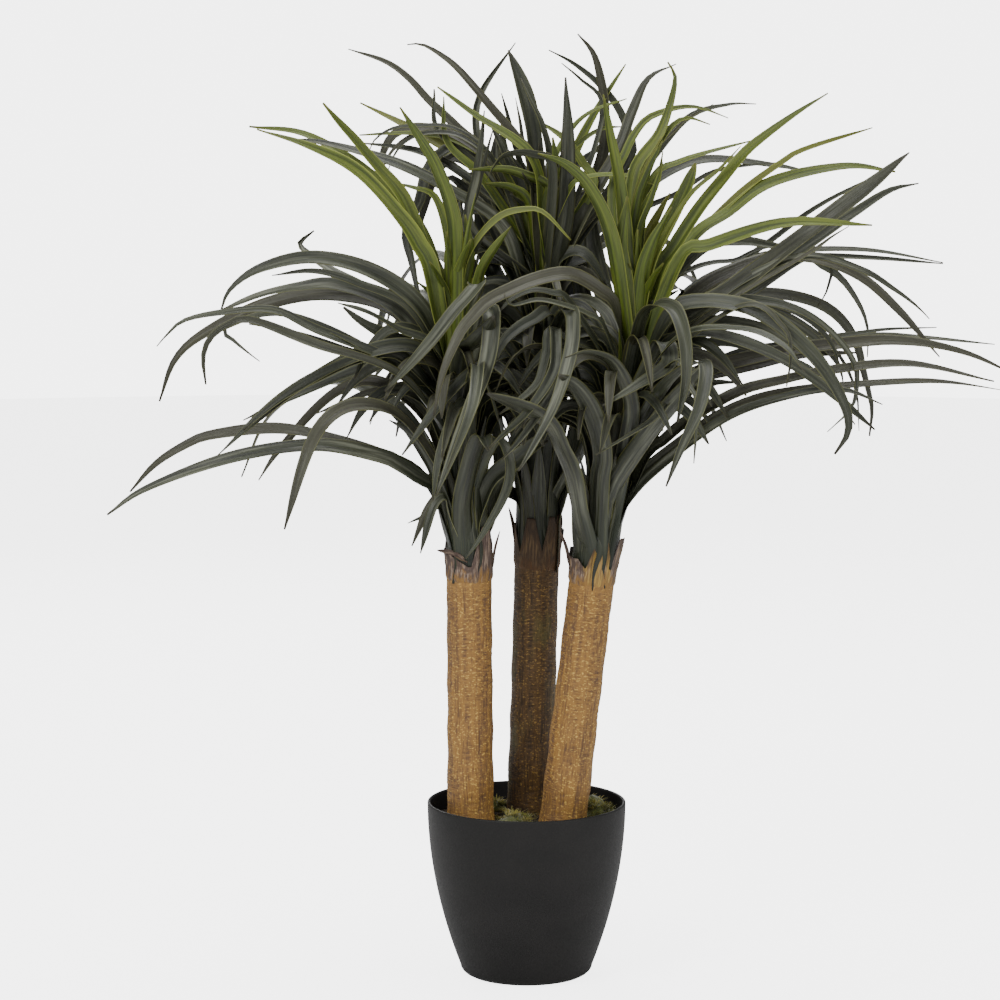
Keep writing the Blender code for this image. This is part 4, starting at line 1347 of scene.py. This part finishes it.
@dataclass(frozen=True)
class Leaf:
    """One strap leaf: it wraps its shoot, opens into a keeled channel, and ends in a fine tip."""

    width: float
    kind: Kind
    route: tuple[Vector, ...]
    outward: Vector
    seed: int
    freed: float = 0.0          # share of its length at which it leaves the shoot
    facing: float = LEAF_FACING
    life: float = 1.0           # how much it twists and ripples
    columns: int = 8
    rows: int = 44
    wrap: float = 0.13          # rise of the margins round the shoot, as a share of the width
    channel: float = 0.2        # the same, once it is free
    base_flare: float = 0.15
    tip_power: float = 5.0      # the higher, the blunter its tip

    def loose(self, along: float) -> float:
        """Give how freely the blade moves, which a shoot holds at its stem.

        Args:
            along: From 0 at the stem to 1 at the tip.

        Returns:
            From 0 where it hugs the shoot to 1 where it is free.
        """
        return smooth(self.freed * 0.8, self.freed + 0.25, along)

    def share_wide(self, along: float) -> float:
        """Give the blade's width, as a share of its width in the middle.

        Args:
            along: From 0 at the stem to 1 at the tip.

        Returns:
            The share.
        """
        flare = 1 + self.base_flare * (1 - smooth(0.0, self.freed + 0.35, along))
        return max((1 - along ** self.tip_power) ** 0.8 * flare, 0.1)

    def frames(self, path: Sequence[Vector]) -> list[tuple[Vector, Vector]]:
        """Give the blade's own directions at each point of its path.

        Args:
            path: The blade's middle line.

        Returns:
            For each point, the direction across the blade and the one out of its upper face.
        """
        chance = random.Random(self.seed)
        sway, turns = chance.uniform(0.1, 0.35), chance.uniform(0.6, 1.5)
        phase = chance.uniform(0, 6)
        level = Vector((-self.outward.y, self.outward.x, 0)).normalized()
        directions = tangents(path)
        uppers = [along.cross((level - along * level.dot(along)).normalized())
                  for along in directions]
        away = sum(upper.dot(FRONT) for upper in uppers) < -0.3 * len(uppers)
        facing = self.facing * abs(level.y) * (-1 if away else 1)
        result = []
        for i, (along, upper) in enumerate(zip(directions, uppers)):
            share = i / (len(path) - 1)
            free = self.loose(share)
            front = FRONT - along * FRONT.dot(along)
            normal = (upper + front * facing * free).normalized()
            twist = self.life * sway * math.sin(phase + turns * math.pi * share) * free
            normal = Matrix.Rotation(twist, 3, along) @ normal
            result.append((normal.cross(along).normalized(), normal))
        return result

    def add_to(self, skin: Skin) -> list[bmesh.types.BMVert]:
        """Add the blade to a mesh.

        Args:
            skin: The mesh.

        Returns:
            The blade's vertices.
        """
        chance = random.Random(self.seed * 31)
        path = smooth_path(self.route, self.rows)
        frames = self.frames(path)
        tone, channel = chance.random(), self.channel * chance.uniform(0.4, 1.7)
        ripple = self.life * chance.uniform(0.01, 0.05) * self.width

        def place(across: float, along: float) -> Vector:
            """Give a point of the blade.

            Args:
                across: Its share of the way from one margin to the other.
                along: Its share of the way to the tip.

            Returns:
                The point in millimetres.
            """
            sideways, normal = frames[round(along * self.rows)]
            side = 2 * across - 1
            half = self.width / 2 * self.share_wide(along)
            free = self.loose(along)
            cup = self.wrap + (channel - self.wrap) * free
            wave = ripple * free * math.sin(21 * along + self.seed + 1.5 * side) * abs(side)
            return (path[round(along * self.rows)] + sideways * side * half * math.cos(cup)
                    + normal * (2 * cup * half * abs(side) ** 1.25 + wave))

        return skin.patch(self.columns, self.rows, place, (self.width, sum(stretches(path))),
                          tone, 0.173 * self.seed)


@dataclass
class Husk:
    """The sheath of dead leaf bases round a cane's top, torn into bracts.

    A bract is its middle in degrees from the front towards +X, half its width in degrees, the
    height of its tip over the cane's top, how far the tip leans out, and how ochre it is. A
    sliver is a strip torn loose: its width, and points from the middle of the cane's top.
    """

    cane: Cane
    finish: PaperyHusk
    bracts: tuple[tuple[float, float, float, float, float], ...]
    notch: float                # height of the tears' lower ends over the cane's top
    slivers: tuple[tuple[float, Point, Point, Point], ...]
    depth: float = 4.0          # how far the sheath reaches down the cane
    columns: int = 180
    rows: int = 26

    def torn(self, degrees: float) -> tuple[float, float, float]:
        """Find the torn edge at an angle.

        Args:
            degrees: The angle from the front towards +X.

        Returns:
            The edge's height over the cane's top, how far it leans out, and how ochre it is.
        """
        height, lean, ochre = self.notch, 0.0, 0.0
        for middle, half, tip, reach, colour in self.bracts:
            aside = abs((degrees - middle + 180) % 360 - 180) / half
            if aside < 1:
                share = min(1.5 * (1 - aside), 1.0)
                rise = self.notch + (tip - self.notch) * share
                if rise >= height:
                    height, lean = rise, reach * share
                ochre = max(ochre, colour * smooth(0.0, 0.4, share))
        return height, lean, ochre

    def build(self) -> None:
        """Bend a grid round the cane, tear its upper edge, and add the loose strips."""
        skin = Skin()
        top, radius = self.cane.top, self.cane.radius
        wobble = Vector((radius, 0.37 * self.bracts[0][0], 5.0))

        def place(across: float, along: float) -> Vector:
            """Give a point of the sheath.

            Args:
                across: Its share of the way round, from the back.
                along: Its share of the way up to the torn edge.

            Returns:
                The point in millimetres.
            """
            degrees = across * 360 - 180
            out = self.cane.around(math.radians(degrees))
            height, lean, _ = self.torn(degrees)
            ragged = noise.noise(out * 5 + wobble)
            low = -self.depth + 2.5 * ragged
            z = low + (height + ragged - low) * along
            seat = smooth(0.0, 0.2, along)
            ribs = 0.4 * noise.noise(out * 9 + wobble + Vector((0, 0, z / 30)))
            free = max(z - self.notch, 0) / max(height - self.notch, 1)
            return top + self.cane.direction * z + out * (
                radius - 0.5 + (1.3 + ribs) * seat + lean * free ** 1.5)

        sheath = skin.patch(self.columns, self.rows, place, (math.tau * radius, 45))
        for vert in sheath:
            flat = vert.co / MM - top
            degrees = math.degrees(math.atan2(flat.x, -flat.y))
            height, _, ochre = self.torn(degrees)
            vert[skin.tone] = ochre
            vert[skin.edge] = vert[skin.along] * smooth(self.notch, self.notch + 22, height)
            vert[skin.along] = (flat.dot(self.cane.direction) + self.depth) / 60
        bmesh.ops.remove_doubles(skin.bm, verts=sheath, dist=WELD)
        for number, (width, *points) in enumerate(self.slivers):
            route = tuple(top + Vector(point) for point in points)
            away = Vector((points[-1][0], points[-1][1], 0)).normalized()
            strip = Leaf(width, Kind.DARK, route, away, 40 + number, life=0.0, columns=4, rows=14,
                         base_flare=0.0)
            for vert in strip.add_to(skin):
                vert[skin.tone], vert[skin.edge] = 0.1, 0.2
                vert[skin.along] = 0.5 + 0.4 * vert[skin.along]
        side = self.cane.side.value
        skin.piece(f"bracts_{side}", "husk", [self.finish.material()], [f"husk_{side}"], 0.5)


@dataclass(frozen=True)
class Fan:
    """Arching leaves that fill out a crown, from the lowest to the highest."""

    count: int
    low: float                  # height of the lowest one's start over the cane
    under: float                # how far under the shoot's top the highest one starts
    reach: tuple[float, float]
    climb: tuple[float, float]
    width: tuple[float, float]
    seed: int
    shorter: float = 0.0        # by what share the highest one reaches less far


@dataclass
class Crown:
    """The leaves of one cane, round the shoot that carries them."""

    cane: Cane
    shoot_top: Vector
    behind: Fan = Fan(16, 112, 28, (140, 190), (40, 62), (9, 12), 500, 0.2)
    screen: Fan = Fan(18, 105, 40, (45, 95), (26, 46), (10, 12.5), 700)
    inside: Fan = Fan(26, 120, 45, (55, 105), (25, 42), (9, 12), 600)
    back_screen: float = 75     # where the screen starts over the back cane
    heart_leaves: int = 12
    heart_seed: int = 800
    table_seed: int = 200       # of the leaves between those with solids
    sheath_seed: int = 700
    filler_rows: int = 28       # the short leaves need fewer rows of faces than the long ones
    sheaths: int = 11
    opening: tuple[float, ...] = (0, 0, 1.5, 8.0, 22.0)     # how far a sheath stands off
    line_steps: int = 40        # stretches of the shoot's middle line
    profile: tuple[tuple[float, float], ...] = (
        (0.0, 19.3), (0.1, 20.8), (0.3, 18.0), (0.65, 11.0), (1.0, 4.0))
    gap: float = 0.3
    sheathed: float = 62.0      # how far down the shoot a leaf hugs it
    husked: float = 50.0        # height over the cane below which no leaf leaves the shoot
    release: float = 18.0       # how far under its height in the table a leaf comes free
    lead_in: float = 12.0       # it is free at least this far under its first point
    rooted: float = 6.0         # how far down inside the husk it may start
    hug: tuple[float, float, float] = (-2.4, -1.0, 0.8)    # how far off the core it runs there
    crest: float = 0.55         # share of its reach at which an arching leaf is highest
    sag: float = 0.22           # how far its tip hangs, as a share of its reach
    thickness: float = 0.5
    strap: float = 13.0         # from this width on, a leaf's tip is blunt
    fullness: tuple[float, float] = (1.5, 1.6)     # old and young blades' widths over their solids'

    def __post_init__(self) -> None:
        """Work out the shoot's middle line."""
        start = self.cane.top + self.cane.direction * self.gap
        self.line = smooth_path([start, start + self.cane.direction * 25, self.shoot_top],
                                self.line_steps)

    def core(self, z: float) -> tuple[Vector, float]:
        """Find the shoot at a height.

        Args:
            z: The height in millimetres.

        Returns:
            The middle of the shoot there, and its radius.
        """
        for i, (low, high) in enumerate(zip(self.line, self.line[1:])):
            if z <= high.z:
                share = (z - low.z) / (high.z - low.z)
                return (low.lerp(high, share),
                        interpolate(self.profile, (i + share) / self.line_steps))
        return self.line[-1], self.profile[-1][1]

    def leaf(self, width: float, rise: float, kind: Kind, points: Sequence[Vector], seed: int
             ) -> Leaf:
        """Start a leaf on the shoot and lead it through its points.

        Args:
            width: The blade's width.
            rise: The height at which it leaves the shoot.
            kind: Old or young.
            points: Its route in space, from stem to tip.
            seed: Its own random number.

        Returns:
            The leaf.
        """
        outward = points[-1] - self.core(rise)[0]
        outward.z = 0
        first = points[0] - self.core(rise)[0]
        first.z = 0
        lead = first.normalized() if first.length > 3 else outward.normalized()
        low = self.cane.top.z
        clear = min(max(rise, low + self.husked) - self.release, points[0].z - self.lead_in)
        foot = max(low - self.rooted, clear - self.sheathed)
        stem = []
        for z, lift in zip((foot, (foot + clear) / 2, clear), self.hug):
            centre, radius = self.core(z)
            stem.append(centre + lead * (radius + lift))
        route = (*stem, *points)
        runs = stretches(route)
        freed = sum(runs[:2]) / sum(runs)
        full = self.fullness[kind is Kind.LIGHT]
        blunt = 12.0 if width >= self.strap else 5.0
        return Leaf(full * width, kind, route, outward.normalized(), seed, freed, tip_power=blunt)

    def from_row(self, row: Row, seed: int) -> Leaf:
        """Read a leaf from a table.

        Args:
            row: Width, height on the shoot, kind, and points on the elevation.
            seed: Its own random number.

        Returns:
            The leaf.
        """
        width, rise, kind, *points = row
        return self.leaf(width, rise, kind, [from_elevation(*point) for point in points], seed)

    def arching(self, azimuth: float, rise: float, reach: float, climb: float, width: float,
                seed: int) -> Leaf:
        """Make a leaf that arches out in a plane.

        Args:
            azimuth: Its direction in degrees, from the front towards +X.
            rise: The height at which it leaves the shoot.
            reach: How far out its tip lies.
            climb: How high its crest stands over where it leaves.
            width: The blade's width.
            seed: Its own random number.

        Returns:
            The leaf.
        """
        out = outwards(math.radians(azimuth))
        side = Vector((out.y, -out.x, 0)) * random.Random(seed).uniform(-18, 18)
        centre, radius = self.core(rise)
        points = []
        for share in (0.14, 0.35, 0.6, 0.82, 1.0):
            lift = climb * (1 - ((share - self.crest) / self.crest) ** 2)
            lift -= self.sag * reach * share ** 3
            point = centre + out * (radius + reach * share) + side * share * share
            point.z += lift + self.lead_in
            points.append(point)
        return self.leaf(width, rise, Kind.DARK, points, seed)

    def spread(self, fan: Fan, azimuth: Callable[[int], float], chance: random.Random
               ) -> list[Leaf]:
        """Spread a fan of arching leaves up the shoot.

        Args:
            fan: The leaves' sizes.
            azimuth: Gives a leaf's direction in degrees for its number.
            chance: The crown's own random numbers.

        Returns:
            The leaves.
        """
        foot, top = self.cane.top.z, self.shoot_top.z
        made = []
        for i in range(fan.count):
            share = (i + 0.5) / fan.count
            turned = azimuth(i)
            rise = foot + fan.low + (top - foot - (fan.low + fan.under)) * share
            made.append(self.arching(
                turned, rise, chance.uniform(*fan.reach) * (1 - fan.shorter * share),
                chance.uniform(*fan.climb), chance.uniform(*fan.width), fan.seed + i))
        return made

    def heart(self, chance: random.Random) -> list[Leaf]:
        """Make the young leaves that stand up round the shoot's top.

        Args:
            chance: The crown's own random numbers.

        Returns:
            The leaves.
        """
        made = []
        for i in range(self.heart_leaves):
            out = outwards(math.radians(60 + i * GOLDEN_ANGLE))
            spread, height = chance.uniform(12, 42), chance.uniform(35, 95)
            points = [self.shoot_top + out * (spread * share ** 1.5 + 4) + UP * z
                      for share, z in ((0.2, height * 0.3), (0.6, height * 0.7), (1.0, height))]
            old = self.cane.side is Side.BACK or i % 3 == 0
            made.append(self.leaf(chance.uniform(7, 9), self.shoot_top.z - chance.uniform(8, 45),
                                  Kind.DARK if old else Kind.LIGHT, points,
                                  self.heart_seed + i))
        return made

    def fillers(self) -> list[Leaf]:
        """Make the leaves that the elevation doesn't give: those behind, and those deep inside.

        Returns:
            The leaves.
        """
        chance = random.Random(100 + len(self.cane.side.value))
        middle = {Side.LEFT: 125, Side.BACK: 180, Side.RIGHT: 235}[self.cane.side]
        screen = self.screen
        if self.cane.side is Side.BACK:
            screen = replace(screen, low=self.back_screen)
        made = self.spread(
            self.behind, lambda i: 180 + 36 * math.sin(i * SWING) + chance.uniform(-6, 6), chance)
        made += self.spread(screen, lambda i: middle + 55 * math.sin(i * SWING), chance)
        made += self.spread(self.inside, lambda i: i * GOLDEN_ANGLE, chance)
        made += self.heart(chance)
        return [replace(leaf, rows=self.filler_rows) for leaf in made]

    def build_shoot(self) -> None:
        """Make the core and the broad leaf bases that wrap it."""
        skin = Skin()

        def place(across: float, along: float) -> Vector:
            """Give a point of the core.

            Args:
                across: Its share of the way round.
                along: Its share of the way up.

            Returns:
                The point in millimetres.
            """
            steps = along * self.line_steps
            i = min(int(steps), self.line_steps - 1)
            share = steps - i
            centre = self.line[i].lerp(self.line[i + 1], share)
            out = self.cane.around(across * math.tau)
            folds = 1 + 0.05 * math.sin(across * math.tau * 7 + along * 5)
            return centre + out * (interpolate(self.profile, along) - 0.8) * folds

        skin.close(skin.patch(56, 60, place, (110, 250), 0.3))
        for i in range(self.sheaths):
            out = outwards(math.radians(i * GOLDEN_ANGLE))
            route = []
            length = 120 + 11 * (i % 5)
            for step in range(len(self.opening)):
                z = self.cane.top.z + 1 + length * step / (len(self.opening) - 1)
                centre, radius = self.core(z)
                lift = 0.2 + 0.35 * (i % 4) + self.opening[step]
                route.append(centre + out * (radius + lift))
            Leaf(20 - (i % 3), Kind.DARK, tuple(route), out, self.sheath_seed + i, freed=0.6,
                 facing=0.0, life=0.0, base_flare=0.1, tip_power=2.0).add_to(skin)
        side = self.cane.side.value
        self.finish(skin, f"leaf_bases_{side}", Kind.DARK, f"shoot_{side}")

    def finish(self, skin: Skin, name: str, kind: Kind, *nodes: str) -> None:
        """Turn blades into a piece, with one finish above and one below.

        Args:
            skin: The blades.
            name: The piece's name.
            kind: Old or young.
            *nodes: The CAD nodes that it stands for.
        """
        skin.piece(name, kind.value, [finish.material() for finish in LEAF_FINISHES[kind]],
                   nodes, self.thickness)

    def build(self) -> None:
        """Make the shoot, each leaf that has a solid, and the rest in one piece for each kind."""
        side = self.cane.side.value
        self.build_shoot()
        for number, row in enumerate(FRAME_LEAVES[self.cane.side], 1):
            leaf = self.from_row(row, number)
            skin = Skin()
            leaf.add_to(skin)
            self.finish(skin, f"blade_{side}_{number:02d}", leaf.kind, f"leaf_{side}_{number:02d}")
        others = [self.from_row(row, number)
                  for number, row in enumerate(MORE_LEAVES[self.cane.side], self.table_seed)]
        others += self.fillers()
        for kind in Kind:
            skin = Skin()
            for leaf in others:
                if leaf.kind is kind:
                    leaf.add_to(skin)
            self.finish(skin, f"more_{kind.value}_{side}", kind)


@dataclass
class Studio:
    """A pale floor, an even pale surround, soft lamps and the camera."""

    camera_place: Point = (-0.0254, -3.2, 0.8581)
    camera_tilt: float = 7.124          # degrees below level
    lens: float = 122.46                # mm, on a 36 mm sensor
    floor_radius: float = 6.0
    floor_gap: float = 0.0005           # the plant stands this far over it
    floor_glow: float = 3.9             # its own light, which only the camera sees
    surround: float = 0.45              # the light from all round
    backdrop: float = 5.0               # the same, as the camera sees it
    lamps: tuple[tuple[str, Point, float, float], ...] = (  # name, place, size, watts
        ("key", (-1.5, -2.0, 2.3), 1.3, 60.0),
        ("fill", (2.0, -1.8, 1.3), 1.5, 22.0),
        ("overhead", (0.2, 0.3, 2.6), 1.4, 38.0),
        ("rim", (-0.6, 2.4, 1.6), 1.2, 24.0),
    )

    def build(self) -> None:
        """Set up the camera, the lamps, the surround and the floor."""
        self.build_camera()
        for name, place, size, watts in self.lamps:
            self.build_lamp(name, Vector(place), size, watts)
        self.build_surround()
        self.build_floor()

    def build_camera(self) -> None:
        """Add the camera, level from side to side and tilted down."""
        data = bpy.data.cameras.new("camera")
        data.sensor_width = 36.0
        data.lens = self.lens
        data.clip_end = 50.0
        camera = new_object("camera", data)
        camera.location = self.camera_place
        camera.rotation_euler = (math.radians(90 - self.camera_tilt), 0, 0)
        bpy.context.scene.camera = camera

    def build_lamp(self, name: str, place: Vector, size: float, watts: float) -> None:
        """Add a square soft lamp that looks at the middle of the plant.

        Args:
            name: The lamp's name.
            place: Where it hangs, in metres.
            size: Its side.
            watts: Its power.
        """
        data = bpy.data.lights.new(name, "AREA")
        data.shape = "SQUARE"
        data.size = size
        data.energy = watts
        lamp = new_object(name, data)
        lamp.location = place
        lamp.rotation_euler = (UP * 0.5 - place).to_track_quat("-Z", "Y").to_euler()

    def build_surround(self) -> None:
        """Light the plant from all round, with a brighter backdrop behind it."""
        world = bpy.data.worlds.new("surround")
        world.use_nodes = True
        bpy.context.scene.world = world
        tree = world.node_tree
        seen = add_node(tree, "ShaderNodeLightPath").outputs["Is Camera Ray"]
        strength = add_node(tree, "ShaderNodeMapRange",
                            {"Value": seen, "To Min": self.surround, "To Max": self.backdrop})
        feed(tree, tree.nodes["Background"], {"Color": (1, 1, 1, 1), "Strength": strength})

    def build_floor(self) -> None:
        """Lay a plain pale floor that takes a soft shadow."""
        bm = bmesh.new()
        bmesh.ops.create_circle(bm, cap_ends=True, segments=96, radius=self.floor_radius)
        mesh = bpy.data.meshes.new("floor")
        bm.to_mesh(mesh)
        bm.free()
        floor = new_object("floor", mesh)
        floor.location.z = -self.floor_gap
        paint = bpy.data.materials.new("floor_paint_matt")
        paint.use_nodes = True
        tree = paint.node_tree
        seen = add_node(tree, "ShaderNodeLightPath").outputs["Is Camera Ray"]
        feed(tree, tree.nodes["Principled BSDF"], {
            "Base Color": (0.85, 0.85, 0.85, 1),
            "Roughness": 0.9,
            "Emission Color": (1, 1, 1, 1),
            "Emission Strength": add_node(tree, "ShaderNodeMapRange", {
                "Value": seen, "To Min": 0.0, "To Max": self.floor_glow}),
        })
        mesh.materials.append(paint)


def main() -> None:
    """Build the plant round the frame."""
    logging.basicConfig(level=logging.INFO, format="%(message)s")
    for old in list(bpy.data.objects):
        bpy.data.objects.remove(old)
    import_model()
    pot = Pot()
    pot.build()
    Planting(pot).build()
    for side, (foot, top) in CANES.items():
        cane = Cane(side, Vector(foot), Vector(top))
        cane.build()
        # The back husk takes the paper with painted shade.
        Husk(cane, SHADED_HUSK if side is Side.BACK else HUSK, *BRACTS[side]).build()
        Crown(cane, Vector(SHOOT_TOPS[side])).build()
    Studio().build()


if __name__ == "__main__":
    main()
